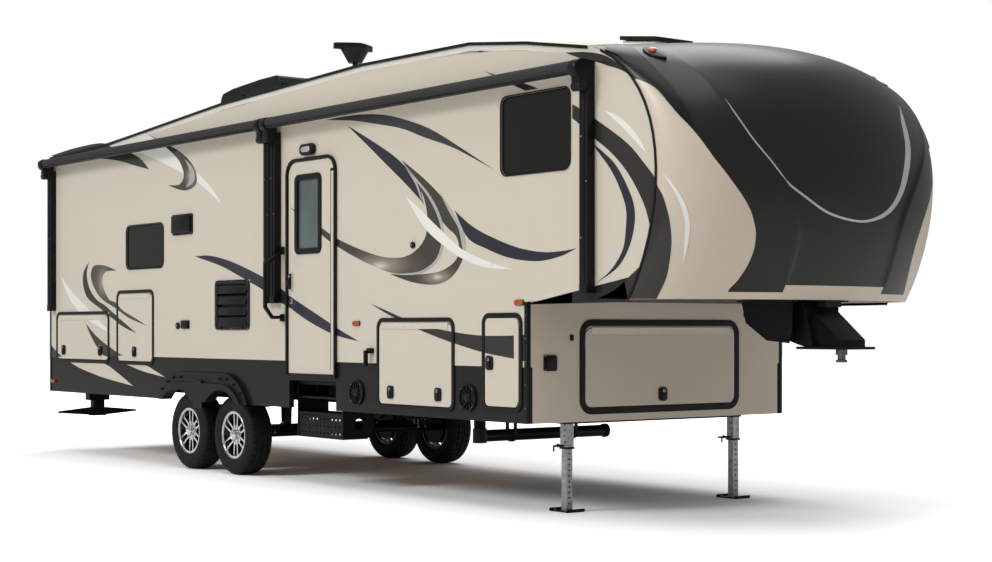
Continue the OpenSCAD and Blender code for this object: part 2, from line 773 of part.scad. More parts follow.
module antenna() {
    x = x_antenna;
    top = roof_z(x) + antenna_h;
    color([0.12, 0.12, 0.12]) {
        side_plate(-60, 60, [[x - 60, roof_z(x - 60) + 0.3], [x + 60, roof_z(x + 60) + 0.3],
                             [x + 60, roof_z(x) + 30], [x - 60, roof_z(x) + 30]]);
        translate([x, 0, roof_z(x) + 20]) cylinder(h = antenna_h - 185, r = 24);
        translate([x, 0, top - 170]) cylinder(h = 125, r1 = 60, r2 = 130);
        translate([x, 0, top - 50]) linear_extrude(50)
            polygon([[-70, -185], [-20, -200], [60, -80], [95, 0], [60, 80], [-20, 200], [-70, 185],
                     [-45, 0]]);
    }
}

module pin_box() {
    top = z_nose;
    color([0.06, 0.06, 0.06]) {
        for (s = [-1, 1]) {
            side_plate(s * 215 - 5, s * 215 + 5,
                       [[1000, top], [1040, 1290], [1230, 1175], [1420, 1160], [1450, 1230], [1450, top]]);
            box([1000, s * 235 - 25, top - 10], [1500, s * 235 + 25, top]);
        }
        box([1010, -210, top - 12], [1450, 210, top]);
        box([1010, -210, 1330], [1022, 210, top]);
        side_plate(-150, 150, [[1022, top - 12], [1060, 1270], [1440, 1150], [1560, z_pin],
                               [1560, z_pin + 40], [1480, top - 12]]);
        side_plate(-120, 120, [[1470, top - 20], [1470, z_pin + 16], [x_pin + 90, z_pin + 16],
                               [x_pin + 90, z_pin + 60]]);
        translate([0, 0, z_pin]) linear_extrude(16)
            polygon([[1440, -170], [plate_x - 60, -170], [plate_x, -110], [plate_x, 110], [plate_x - 60, 170],
                     [1440, 170]]);
    }
}

// standard coupling pin: shoulder, neck and lower flange
module kingpin() {
    color([0.55, 0.55, 0.55]) translate([x_pin, 0, z_pin - 84]) {
        cylinder(h = 18, r = 35.7);
        translate([0, 0, 18]) cylinder(h = 30, r = 25.4);
        translate([0, 0, 48]) cylinder(h = 36, r = 36.5);
    }
}

// square tube with a pulled-down inner tube full of pin holes, a pull pin and a foot
module landing_leg(s) {
    color([0.07, 0.07, 0.07]) translate([-leg_in, s * rail_y, 0]) {
        difference() {
            box([-33, -33, 430], [33, 33, 600]);
            box([-27, -27, 420], [27, 27, 590]);
        }
        difference() {
            box([-26.5, -26.5, 8], [26.5, 26.5, 560]);
            box([-21, -21, 8], [21, 21, 570]);
            for (z = [55:38:397])
                translate([-40, 0, z]) rotate([0, 90, 0]) cylinder(h = 80, r = 8);
        }
        translate([-95, 0, 446]) rotate([0, 90, 0]) cylinder(h = 62, r = 9);
        translate([-86, 0, 446]) rotate([s * 90, 0, 0]) cylinder(h = 70, r = 7);
        difference() {
            box([-100, -75, 0], [100, 75, 22]);
            box([-92, -80, 8], [92, 80, 30]);
        }
    }
}

// folded scissor jack across the frame, on its drop bracket
module stabiliser(s) {
    color([0.07, 0.07, 0.07]) translate([-7620, s * rail_y, 0]) {
        box([-50, -110, 520], [50, 110, 650]);
        box([-40, -60, 440], [40, 60, 520]);
        for (d = [0, 1], x = [-32, 20]) mirror([0, d, 0])
            translate([x, 0, 405]) rotate([90, 0, 90]) linear_extrude(12)
                polygon([[20, 42], [75, 42], [415, 9], [415, -9], [75, -36], [20, -36]]);
        translate([0, 425, 405]) rotate([90, 0, 0]) cylinder(h = 850, r = 11);
        box([-50, -75, 362], [50, 75, 371]);
        box([-36, -22, 371], [36, 22, 446]);
    }
}

module bumper() {
    color([0.08, 0.08, 0.08]) {
        difference() {
            box([bumper_x, -half + 200, 610], [bumper_x + 100, half - 200, 710]);
            box([bumper_x + 5, -half + 190, 615], [bumper_x + 95, half - 190, 705]);
        }
        for (s = [-1, 1])
            box([bumper_x + 100, s * rail_y - 40, 630], [x_rear, s * rail_y + 40, 700]);
    }
}

// leaf spring under a rail, with its hangers, axle seat and brake drum
module spring(x, s) {
    eye = 300;
    side_plate(s * rail_y - 28, s * rail_y + 28,
               [for (i = [-8:8]) [x + eye * i / 8, 392 + 60 * pow(i / 8, 2)],
                for (i = [8:-1:-8]) [x + eye * i / 8, 402 + 60 * pow(i / 8, 2)]]);
    side_plate(s * rail_y - 28, s * rail_y + 28,
               [for (i = [-8:8]) [x + 190 * i / 8, 382 + 24 * pow(i / 8, 2)],
                for (i = [8:-1:-8]) [x + 190 * i / 8, 392.5 + 24 * pow(i / 8, 2)]]);
    box([x - 50, s * rail_y - 34, tyre_r + axle_r - 4], [x + 50, s * rail_y + 34, 383]);
    for (d = [-1, 1])
        side_plate(s * rail_y - 34, s * rail_y + 34,
                   [[x + d * eye - 26, 440], [x + d * eye + 26, 440], [x + d * eye + 40, 650],
                    [x + d * eye - 40, 650]]);
}

module axles() {
    y_hub = y_tyre - tyre_w / 2;
    color([0.09, 0.09, 0.09])
        for (x = x_wheel) {
            translate([x, 0, tyre_r]) rotate([90, 0, 0])
                cylinder(h = 2 * y_hub + 60, r = axle_r, center = true);
            for (s = [-1, 1]) {
                spring(x, s);
                translate([x, s * (y_hub - 60), tyre_r]) rotate([90, 0, 0])
                    cylinder(h = 70, r = 150, center = true);
            }
        }
}

module tyre(i, s) {
    w = tyre_w / 2;
    color([0.05, 0.05, 0.05]) translate([x_wheel[i], s * (y_tyre - w), tyre_r]) rotate([90, 0, 0])
        rotate_extrude($fn = 48)
            polygon([[rim_r, -w + 24], [rim_r + 12, -w + 8], [rim_r + 55, -w], [tyre_r - 40, -w + 4],
                     [tyre_r - 12, -w + 18], [tyre_r - 2, -w + 45], [tyre_r, 0], [tyre_r - 2, w - 45],
                     [tyre_r - 12, w - 18], [tyre_r - 40, w - 4], [rim_r + 55, w], [rim_r + 12, w - 8],
                     [rim_r, w - 24]]);
}

// rim with a stepped barrel, pairs of spoke bars, a dished hub and a centre cap
module wheel(i, s) {
    w = tyre_w / 2;
    face = 62;
    color([0.75, 0.76, 0.78]) translate([x_wheel[i], s * (y_tyre - w), tyre_r]) rotate([-90 * s, 0, 0])
        difference() {
            union() {
                rotate_extrude($fn = 48)
                    polygon([[rim_r - 12, -w + 22], [rim_r, -w + 22], [rim_r, w - 22], [rim_r - 22, w - 22],
                             [rim_r - 26, face], [rim_r - 14, face - 12]]);
                for (k = [0:spokes - 1])
                    rotate([0, 0, k * 360 / spokes + 30])
                        for (d = [-1, 1])
                            translate([0, d * 19, face - 14]) rotate([0, 0, d * 4]) translate([40, -8, 0])
                                cube([rim_r - 62, 16, 24]);
                translate([0, 0, face - 30]) cylinder(h = 36, r = 82);
                cylinder(h = w - 10, r = 44);
            }
            translate([0, 0, -1]) cylinder(h = 46, r = axle_r + 0.3);
            for (k = [0:spokes - 1])
                rotate([0, 0, k * 360 / spokes]) translate([64, 0, face - 4]) cylinder(h = 20, r = 10);
        }
}

// capped drain pipe across the trailer, on straps from the frame under the hold
module sewer_tube() {
    x = -1352;
    z = 447;
    top = 600;
    color([0.05, 0.05, 0.05]) {
        translate([x, 620, z]) rotate([90, 0, 0]) cylinder(h = 1250, r = 45);
        translate([x, 650, z]) rotate([90, 0, 0]) cylinder(h = 30, r = 54);
        translate([x, -600, z - 52]) cylinder(h = 110, r = 53);
        translate([x, -600, z]) cylinder(h = z_hold - 20 - z, r = 45);
        for (y = [-300, 300])
            side_panel(y - 14, y + 14) difference() {
                union() {
                    translate([x, z]) circle(54);
                    translate([x - 54, z]) square([108, top - z]);
                    translate([x - 54, top - 10]) square([148, 10]);
                }
                translate([x, z]) circle(44);
                translate([x - 44, z]) square([88, top - z - 10]);
            }
    }
}

module porch_light() {
    color([0.85, 0.82, 0.75]) side_panel(-half - 35, -half) soft_rect(-2865, 2641, -2685, 2703, 25);
}

module marker_lights() {
    color([0.95, 0.55, 0.10]) {
        for (s = [-1, 1], p = [[-2085, 1291], [-80, 1427]])
            mirror([0, s > 0 ? 1 : 0, 0]) side_panel(-half - 18, -half)
                soft_rect(p[0] - 45, p[1] - 16, p[0] + 45, p[1] + 16, 12);
    }
}

module tail_lights() {
    color([0.70, 0.05, 0.05])
        for (s = [0, 1]) mirror([0, s, 0]) {
            on_rear() side_panel(-half - 25, -half) soft_rect(-half + 80, 1150, -half + 200, 1420, 20);
            side_panel(-half - 16, -half) soft_rect(-7790, 704, -7700, 736, 12);
        }
}

translate([-mid_x, -mid_y, 0]) {
    door_side_wall();
    off_side_wall();
    door_side_skirt();
    off_side_skirt();
    rear_wall();
    union() {
        roof();
        vent_collar();
    }
    front_cap();
    nose_underside();
    union() {  // floors
        bedroom_floor();
        main_floor();
    }
    hold_floor();
    union() {  // inner_panels
        bulkhead();
        lockers();
    }
    lower_front_wall();
    chassis();
    outriggers();
    slide_runners();
    hold_frame();
    nose_frame();
    entry_door();
    entry_door_glass();
    rear_locker_door();
    middle_locker_door();
    hold_door();
    off_side_hold_door();
    gas_door();
    front_door();
    windows();
    window_frames();
    door_frames();
    edge_trims();
    wall_fittings();
    roof_fittings();
    appliance_vents();
    grab_handle();
    entry_steps();
    slide_room();
    slide_window();
    union() {  // awnings
        awning_rollers();
        awning_arms();
    }
    union() {  // fenders
        fender();
        mirror([0, 1, 0]) fender();
    }
    air_conditioner();
    vent_lid();
    antenna();
    pin_box();
    kingpin();
    union() {  // landing_legs
        landing_leg(-1);
        landing_leg(1);
    }
    union() {  // stabilisers
        stabiliser(-1);
        stabiliser(1);
    }
    bumper();
    axles();
    tyre(0, -1);  // front_door_side_tyre
    tyre(0, 1);  // front_off_side_tyre
    tyre(1, -1);  // rear_door_side_tyre
    tyre(1, 1);  // rear_off_side_tyre
    wheel(0, -1);  // front_door_side_wheel
    wheel(0, 1);  // front_off_side_wheel
    wheel(1, -1);  // rear_door_side_wheel
    wheel(1, 1);  // rear_off_side_wheel
    sewer_tube();
    porch_light();
    marker_lights();
    tail_lights();
}
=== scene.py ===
"""Looks of a fifth wheel travel trailer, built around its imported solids."""
import json
import math

import bmesh
import bpy
from mathutils import Matrix, Vector
from mathutils.bvhtree import BVHTree


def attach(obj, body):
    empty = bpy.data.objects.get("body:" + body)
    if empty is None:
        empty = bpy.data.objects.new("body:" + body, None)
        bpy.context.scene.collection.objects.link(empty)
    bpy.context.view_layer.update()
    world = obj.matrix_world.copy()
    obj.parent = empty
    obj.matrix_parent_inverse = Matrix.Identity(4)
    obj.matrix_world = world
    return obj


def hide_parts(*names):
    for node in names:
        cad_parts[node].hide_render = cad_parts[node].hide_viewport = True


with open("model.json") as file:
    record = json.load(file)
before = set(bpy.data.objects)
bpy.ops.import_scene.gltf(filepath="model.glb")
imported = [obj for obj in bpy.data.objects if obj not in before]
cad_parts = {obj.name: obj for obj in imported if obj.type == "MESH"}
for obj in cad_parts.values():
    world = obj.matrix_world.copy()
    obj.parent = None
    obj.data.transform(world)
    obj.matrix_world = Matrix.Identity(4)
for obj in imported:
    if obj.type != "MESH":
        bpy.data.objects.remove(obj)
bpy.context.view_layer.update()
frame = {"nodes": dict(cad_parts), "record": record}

# Plan of the trailer in metres: +X forward, -Y the entry door side, floor at 0.
BODY = "coach"
SHIFT = Vector((3.05, 0.0605, 0.0))   # from the lower front wall to the middle of the footprint
HALF = 1.219                          # half the body's width
FRONT_X = SHIFT.x                     # face of the lower front wall
REAR_X = -7.83 + SHIFT.x
SKIRT_Z = 0.615
NOSE_Z = 1.435
PROUD = 0.006                         # a closed door stands this far out of the wall
WHEELS = {"front": -4.14, "rear": -4.952}   # wheel centres from the lower front wall
WHEEL_Z = 0.34
TYRE_OUT = 1.165                      # outer side of a tyre from the centreline
TYRE_W = 0.225
ARCH_R = 0.455                        # circle of the bolts on the arch trims
RAIL_Y = 0.800                        # springs and landing legs from the centreline
ROLLER_Z = 2.915                      # centre of the awning rollers
ROLLER_OUT = 0.111                    # the same, out from the wall
FACE_OUT = 0.014                      # face of the round covers and vents, out from the wall
HINGE_OUT = 0.012                     # face of the hinge strips, out from the wall
ROOM_OUT = 0.030                      # face of the slide-out room, out from the wall
UPRIGHT = Matrix.Rotation(math.pi / 2, 4, "X")   # stands a flat drawing up to face the door side


# Shader nodes

class Shader:
    """A node material with the links written short."""

    def __init__(self, name):
        self.material = bpy.data.materials.new(name)
        self.material.use_nodes = True
        self.tree = self.material.node_tree
        self.bsdf = self.tree.nodes["Principled BSDF"]
        self.coords = self.tree.nodes.new("ShaderNodeTexCoord").outputs["Object"]

    def node(self, kind, links=(), **values):
        made = self.tree.nodes.new("ShaderNode" + kind)
        for key, value in values.items():
            if key.startswith("in_"):
                made.inputs[int(key[3:])].default_value = value
            else:
                setattr(made, key, value)
        for slot, source in links:
            self.tree.links.new(source, made.inputs[slot])
        return made

    def link(self, source, target):
        self.tree.links.new(source, self.bsdf.inputs[target])

    def feed(self, target, value):
        """Gives an input a number, a colour or another node's output."""
        if isinstance(value, (int, float)):
            target.default_value = value
        elif isinstance(value, tuple):
            target.default_value = (*value, 1.0)
        else:
            self.tree.links.new(value, target)

    def surface(self, **values):
        """Sets inputs of the surface; Coat_Weight stands for Coat Weight."""
        for name, value in values.items():
            self.bsdf.inputs[name.replace("_", " ")].default_value = value

    def noise(self, scale, detail=3.0, stretch=None):
        vector = self.coords
        if stretch:
            vector = self.node("Mapping", [("Vector", vector)], in_3=stretch).outputs[0]
        made = self.node("TexNoise", [("Vector", vector)])
        made.inputs["Scale"].default_value = scale
        made.inputs["Detail"].default_value = detail
        return made.outputs["Fac"]

    def ramp(self, source, stops):
        made = self.node("ValToRGB", [("Fac", source)])
        cells = made.color_ramp.elements
        while len(cells) < len(stops):
            cells.new(0.5)
        for cell, (place, colour) in zip(cells, stops):
            cell.position = place
            cell.color = (*colour, 1.0)
        return made.outputs["Color"]

    def math(self, operation, *values):
        made = self.node("Math", operation=operation)
        for slot, value in enumerate(values):
            self.feed(made.inputs[slot], value)
        return made.outputs[0]

    def mix(self, factor, a, b):
        made = self.node("Mix", data_type="RGBA")
        for slot, value in ((0, factor), (6, a), (7, b)):
            self.feed(made.inputs[slot], value)
        return made.outputs[2]

    def axes(self):
        return self.node("SeparateXYZ", [(0, self.coords)]).outputs

    def bump(self, height, strength, distance):
        made = self.node("Bump", [("Height", height)])
        made.inputs["Strength"].default_value = strength
        made.inputs["Distance"].default_value = distance
        self.link(made.outputs[0], "Normal")

    def rough(self, source, low, high):
        made = self.node("MapRange", [(0, source)], in_3=low, in_4=high)
        self.link(made.outputs[0], "Roughness")


def tint(colour, factor):
    """Lighter or darker colour."""
    return tuple(min(1.0, c * factor) for c in colour)


def srgb(*levels):
    """Linear colour from screen levels of 0 to 255."""
    return tuple(((v / 255 + 0.055) / 1.055) ** 2.4 if v > 10 else v / 3294.6 for v in levels)


def finish(name, colour, rough, spread, scale, grain=400.0, relief=0.0, metal=0.0, coat=0.0, stretch=None,
           sheen=0.07, gloss=0.5):
    """Procedural finish: slow colour drift, uneven gloss and a fine surface relief."""
    made = Shader(name)
    drift = made.noise(scale, 4.0, stretch)
    made.link(made.ramp(drift, [(0.3, tint(colour, 1 - spread)), (0.7, tint(colour, 1 + spread))]),
              "Base Color")
    made.rough(made.noise(scale * 5, 5.0, stretch), max(rough - sheen, 0.02), rough + sheen)
    made.surface(Metallic=metal, Coat_Weight=coat, Coat_Roughness=0.05, Specular_IOR_Level=gloss)
    if relief:
        made.bump(made.noise(grain, 2.0), 0.5, relief)
    return made.material


CREAM = srgb(213, 205, 188)
TAN = srgb(214, 200, 182)
CHARCOAL = srgb(23, 23, 20)


# rear edge of the cap's dark paint in side view: height, distance ahead of the lower front wall;
# the curve runs over EDGE_SPAN metres from its foot
EDGE_FOOT, EDGE_SPAN = 1.4, 2.0
CHIN_Z, CHIN_RISE, CHIN_HALF = 1.478, 0.045, 0.46   # foot of the dark paint, and its raised middle
CAP_EDGE = [(1.40, 1.45), (1.469, 1.477), (1.562, 1.543), (1.679, 1.606), (1.795, 1.646), (1.885, 1.661),
            (2.0, 1.661), (2.147, 1.626), (2.28, 1.57), (2.44, 1.481), (2.572, 1.371), (2.638, 1.313),
            (2.697, 1.259), (2.74, 1.207), (2.781, 1.128), (2.81, 1.03), (2.84, 0.9), (2.9, 0.5), (3.4, 0.4)]


def cap_paint():
    """Moulded cap: tan sides and chin, dark centre panel with a flowing edge."""
    made = Shader("painted_nose_cap")
    x, y, z = made.axes()
    side = made.math("ABSOLUTE", made.math("SUBTRACT", y, SHIFT.y))
    ahead = made.math("SUBTRACT", x, FRONT_X)
    up = made.math("DIVIDE", made.math("SUBTRACT", z, EDGE_FOOT), EDGE_SPAN)
    edge = made.node("FloatCurve", [("Value", up)])
    points = edge.mapping.curves[0].points
    spots = [((height - EDGE_FOOT) / EDGE_SPAN, reach / EDGE_SPAN) for height, reach in CAP_EDGE]
    for spot in spots[1:-1]:
        points.new(*spot)
    points[0].location, points[-1].location = spots[0], spots[-1]
    edge.mapping.update()
    reach = made.math("MULTIPLY", edge.outputs[0], EDGE_SPAN)
    inside = made.math("GREATER_THAN", ahead, reach)
    middle = made.math("GREATER_THAN", CHIN_HALF, side)
    chin = made.math("ADD", CHIN_Z, made.math("MULTIPLY", middle, CHIN_RISE))
    above = made.math("GREATER_THAN", z, chin)
    mask = made.math("MULTIPLY", inside, above)
    drift = made.noise(2.5, 4.0)
    tan = made.ramp(drift, [(0.3, tint(TAN, 0.985)), (0.7, tint(TAN, 1.01))])
    dark = made.ramp(drift, [(0.3, tint(CHARCOAL, 0.93)), (0.7, tint(CHARCOAL, 1.1))])
    made.link(made.mix(mask, tan, dark), "Base Color")
    made.rough(made.noise(6.0, 4.0), 0.36, 0.375)
    made.surface(Coat_Weight=0.06, Coat_Roughness=0.12, Specular_IOR_Level=0.36)
    made.bump(made.noise(60.0, 2.0), 0.3, 0.00003)
    return made.material


def wheel_paint():
    """Polished face of a cast wheel with a near black barrel behind it: dark paint together with painted
    shade inside the rim.
    """
    made = Shader("polished_aluminium")
    x, y, z = made.axes()
    across = made.math("ABSOLUTE", made.math("SUBTRACT", y, SHIFT.y))
    face = made.math("GREATER_THAN", across, TYRE_OUT - 0.075)
    wear = made.noise(8.0, 4.0)
    bright = made.ramp(wear, [(0.3, (0.76, 0.77, 0.79)), (0.7, (0.84, 0.85, 0.87))])
    # inside the face the barrel is near black: partly its dark paint, partly painted shade
    made.link(made.mix(face, (0.012, 0.012, 0.013), bright), "Base Color")
    made.link(face, "Metallic")
    made.rough(made.noise(40.0, 5.0), 0.12, 0.24)
    made.bump(made.noise(1800.0, 2.0), 0.4, 0.00008)
    return made.material


# Finishes

FINISHES = {
    "cream_wall": finish("laminated_cream_wall", CREAM, 0.30, 0.010, 0.5, 60.0, 0.00006, coat=0.2,
                         sheen=0.015),
    "dark_skirt": finish("gloss_dark_skirt", CHARCOAL, 0.34, 0.05, 0.5, coat=0.04, sheen=0.01, gloss=0.22),
    "white_roof": finish("roof_membrane", srgb(226, 222, 211), 0.75, 0.04, 4.0, 300.0, 0.0008),
    "tan_cap": cap_paint(),
    "tan_front": finish("gloss_tan_panel", TAN, 0.28, 0.010, 0.5, 60.0, 0.00006, coat=0.25, sheen=0.015),
    "black_steel": finish("black_powder_coat", (0.006, 0.006, 0.0065), 0.42, 0.25, 9.0, 900.0, 0.0004,
                          gloss=0.16),
    "black_plastic": finish("grained_black_plastic", (0.007, 0.007, 0.0075), 0.36, 0.2, 12.0, 1400.0, 0.0004,
                            gloss=0.2),
    "floor_wood": finish("plywood_floor", srgb(168, 132, 92), 0.6, 0.22, 2.0, 60.0, 0.001,
                         stretch=(1.0, 14.0, 1.0)),
    "inner_panel": finish("laminate_panel", srgb(190, 178, 158), 0.5, 0.12, 2.0, 200.0, 0.0003,
                          stretch=(9.0, 9.0, 1.0)),
    "smoked_glass": finish("smoked_glass", (0.010, 0.011, 0.007), 0.10, 0.15, 0.8, sheen=0.03, gloss=0.3),
    "door_glass": finish("frosted_glass", srgb(92, 104, 102), 0.22, 0.18, 2.2, 500.0, 0.0004, coat=0.3,
                         gloss=0.4),
    "black_vent": finish("black_vent_moulding", (0.009, 0.009, 0.010), 0.5, 0.2, 14.0, 1200.0, 0.0005,
                         gloss=0.25),
    "tyre_rubber": finish("tyre_rubber", (0.012, 0.012, 0.0125), 0.72, 0.25, 24.0, 700.0, 0.0012, gloss=0.25),
    "polished_wheel": wheel_paint(),
    "kingpin_steel": finish("machined_steel", (0.16, 0.16, 0.165), 0.35, 0.2, 30.0, 900.0, 0.0003, metal=0.9),
    "amber_lens": finish("amber_lens", (0.52, 0.070, 0.010), 0.18, 0.12, 60.0, 500.0, 0.0012, coat=0.8),
    "red_lens": finish("red_lens", (0.45, 0.012, 0.01), 0.18, 0.12, 60.0, 500.0, 0.0012, coat=0.8),
    "clear_lens": finish("frosted_lamp_lens", srgb(214, 211, 202), 0.3, 0.05, 40.0, 600.0, 0.001, coat=0.6),
    "white_plastic": finish("white_moulded_plastic", srgb(218, 215, 206), 0.4, 0.04, 10.0, 900.0, 0.0005),
    "galvanised": finish("galvanised_steel", (0.42, 0.43, 0.44), 0.42, 0.25, 35.0, 500.0, 0.0004, metal=0.85),
}


def bronze(name, centre, reach):
    """Brown chrome-look vinyl with a painted highlight: a soft bright spot that stands in for a reflection.
    """
    made = Shader(name)
    place = made.node("Mapping", [("Vector", made.coords)], vector_type="TEXTURE", in_1=centre, in_3=reach)
    # painted highlight: pale at the given centre, fading to the brown vinyl
    painted_highlight = made.node("TexGradient", [(0, place.outputs[0])], gradient_type="SPHERICAL")
    colour = made.ramp(painted_highlight.outputs["Fac"], [(0.0, srgb(58, 52, 45)), (0.35, srgb(84, 76, 66)),
                                              (0.75, srgb(142, 132, 118)), (1.0, srgb(214, 206, 192))])
    made.link(colour, "Base Color")
    made.rough(made.noise(4.0), 0.18, 0.28)
    made.surface(Coat_Weight=0.5, Coat_Roughness=0.05)
    return made.material


VINYL = {
    "slate": finish("slate_vinyl", srgb(54, 57, 60), 0.3, 0.22, 0.9, coat=0.2, gloss=0.35),
    "navy": finish("navy_vinyl", srgb(39, 38, 51), 0.3, 0.2, 0.9, coat=0.2, gloss=0.35),
    "charcoal": finish("charcoal_vinyl", srgb(44, 42, 39), 0.3, 0.18, 0.9, coat=0.2, gloss=0.35),
    "white": finish("white_vinyl", srgb(238, 236, 230), 0.3, 0.02, 0.9, coat=0.2),
    "silver": finish("silver_vinyl", srgb(196, 194, 189), 0.24, 0.12, 3.0, metal=0.35, coat=0.3),
    # each bronze vinyl has its painted highlight centred where that graphic catches the light
    "bronze": bronze("bronze_vinyl", (1.28, -1.16, 1.72), (0.62, 3.0, 0.16)),
    "bronze_tail": bronze("tail_bronze_vinyl", (-3.52, -1.16, 1.70), (0.22, 3.0, 0.22)),
    "bronze_hook": bronze("hook_bronze_vinyl", (-1.72, -1.16, 2.60), (0.16, 3.0, 0.16)),
    "bronze_dark": bronze("dark_bronze_vinyl", (2.02, -1.16, 1.62), (0.30, 3.0, 0.10)),
    "cream": FINISHES["cream_wall"],
}
AWNING = finish("awning_fabric", (0.020, 0.020, 0.021), 0.8, 0.25, 30.0, 1500.0, 0.0008,
                stretch=(1.0, 8.0, 8.0))
SCREW = finish("zinc_screw", (0.62, 0.62, 0.60), 0.28, 0.1, 90.0, metal=1.0)

SLOTS = {part["node"]: part["material_slot"] for part in frame["record"]["subparts"]}
for node, obj in frame["nodes"].items():
    for cell in obj.material_slots:
        cell.material = FINISHES[SLOTS[node]]


# Making pieces

def shown(name, data):
    """New object in the scene."""
    made = bpy.data.objects.new(name, data)
    bpy.context.scene.collection.objects.link(made)
    return made


def piece(name, bm, material, body=BODY, smooth=0.6):
    """Turns a bmesh that is already in place into a piece that rides on a body."""
    bmesh.ops.recalc_face_normals(bm, faces=bm.faces)
    mesh = bpy.data.meshes.new(name)
    for face in bm.faces:
        face.smooth = bool(smooth)
    bm.to_mesh(mesh)
    bm.free()
    if smooth:
        mesh.set_sharp_from_angle(angle=smooth)
    made = shown(name, mesh)
    made.data.materials.append(material)
    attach(made, body)
    return made


def fitting(name, bm, slot="black_plastic", body=BODY):
    """Piece in the finish that its slot stands for."""
    piece(name, bm, FINISHES[slot], body)


def sharp_edges(verts, angle):
    """Edges at the listed points whose faces turn by more than an angle."""
    return [e for e in {e for v in verts for e in v.link_edges} if e.calc_face_angle(0) > angle]


def ease(bm, verts, edges, offset, segments=2):
    """Rounds edges of a group of points, and returns the group as it is then."""
    done = bmesh.ops.bevel(bm, geom=edges, offset=offset, segments=segments, profile=0.5, affect="EDGES",
                           material=-1)
    return list({*done["verts"], *[v for v in verts if v.is_valid]})


def proud(place, out):
    """The same placement, further out of the wall."""
    return place @ Matrix.Translation((0, -out, 0))


def block(bm, low, high, edge, corner, at):
    """Box with rounded edges; corner rounds the four edges that run outwards (Y)."""
    low, high = Vector(low), Vector(high)
    verts = bmesh.ops.create_cube(bm, size=1.0)["verts"]
    size = high - low
    fit = Matrix.Translation((low + high) / 2) @ Matrix.Diagonal((*size, 1))
    bmesh.ops.transform(bm, matrix=fit, verts=verts)
    if corner:
        along = [e for e in {e for v in verts for e in v.link_edges}
                 if abs(e.verts[0].co.y - e.verts[1].co.y) > size.y * 0.9]
        verts = ease(bm, verts, along, corner, 5)
    if edge:
        verts = ease(bm, verts, sharp_edges(verts, 0.8), edge)
    bmesh.ops.transform(bm, matrix=at, verts=verts)


def drum(bm, centre, radius, depth, axis, edge, segments, top=None, at=Matrix()):
    """Round bar, tapered where top is given, with its ends eased by edge."""
    verts = bmesh.ops.create_cone(bm, cap_ends=True, segments=segments, radius1=radius,
                                  radius2=radius if top is None else top, depth=depth)["verts"]
    if edge:
        verts = ease(bm, verts, sharp_edges(verts, 0.9), edge)
    turn = {"X": Matrix.Rotation(math.pi / 2, 4, "Y"), "Y": UPRIGHT, "Z": Matrix()}[axis]
    bmesh.ops.transform(bm, matrix=at @ Matrix.Translation(centre) @ turn, verts=verts)
    return verts


def on_side(x, z, out=0.0):
    """Placement on the door side: local X along the wall from the lower front wall, Z up, -Y outwards."""
    return Matrix.Translation((x + SHIFT.x, SHIFT.y - HALF - out, z))


def on_off_side(x, z, out=0.0):
    """Placement on the off side, seen from outside: local X runs to the rear."""
    return Matrix.Translation((x + SHIFT.x, SHIFT.y + HALF + out, z)) @ Matrix.Rotation(math.pi, 4, "Z")


def on_front(y, z):
    """Placement on the lower front wall, seen from the front."""
    return Matrix.Translation((FRONT_X, SHIFT.y + y, z)) @ Matrix.Rotation(math.pi / 2, 4, "Z")


def on_rear(y, z):
    """Placement on the rear wall, seen from behind."""
    return Matrix.Translation((REAR_X, SHIFT.y + y, z)) @ Matrix.Rotation(-math.pi / 2, 4, "Z")


# Sweeping graphics on the walls and doors

def smooth_line(text, count):
    """Evenly spaced points on a soft curve through the listed ones."""
    points = [Vector([float(n) for n in pair.split(",")]) for pair in text.split()]
    points = [points[0] * 2 - points[1], *points, points[-1] * 2 - points[-2]]
    fine = []
    for i in range(1, len(points) - 2):
        a, b, c, d = points[i - 1:i + 3]
        for step in range(12):
            t = step / 12
            fine.append(0.5 * (b * 2 + (c - a) * t + (a * 2 - b * 5 + c * 4 - d) * t * t
                               + (b * 3 - a - c * 3 + d) * t ** 3))
    fine.append(points[-2])
    walk = [0.0]
    for a, b in zip(fine, fine[1:]):
        walk.append(walk[-1] + (b - a).length)
    out, k = [], 0
    for i in range(count):
        goal = walk[-1] * i / (count - 1)
        while k < len(walk) - 2 and walk[k + 1] < goal:
            k += 1
        part = (goal - walk[k]) / max(walk[k + 1] - walk[k], 1e-9)
        out.append(fine[k].lerp(fine[k + 1], min(max(part, 0.0), 1.0)))
    return out


def sweep(upper, lower, count, across=1):
    """Flat blade between two edges that meet at both tips, drawn in X and Y."""
    bm = bmesh.new()
    bmesh.ops.create_grid(bm, x_segments=count - 1, y_segments=across, size=0.5)
    first, second = smooth_line(upper, count), smooth_line(lower, count)
    for vert in bm.verts:
        i = round((vert.co.x + 0.5) * (count - 1))
        vert.co = first[i].lerp(second[i], vert.co.y + 0.5).to_3d()
    bmesh.ops.remove_doubles(bm, verts=bm.verts, dist=0.0005)
    return bm


def cut(bm, x0, x1, z0, z1):
    """Keeps what lies inside a rectangle."""
    for point, away in (((x0, 0, 0), (-1, 0, 0)), ((x1, 0, 0), (1, 0, 0)),
                        ((0, z0, 0), (0, -1, 0)), ((0, z1, 0), (0, 1, 0))):
        bmesh.ops.bisect_plane(bm, geom=[*bm.verts, *bm.edges, *bm.faces], plane_co=point, plane_no=away,
                               clear_outer=True)


def join(target, source):
    """Moves all of one mesh into another."""
    mesh = bpy.data.meshes.new("part")
    source.to_mesh(mesh)
    source.free()
    target.from_mesh(mesh)
    bpy.data.meshes.remove(mesh)


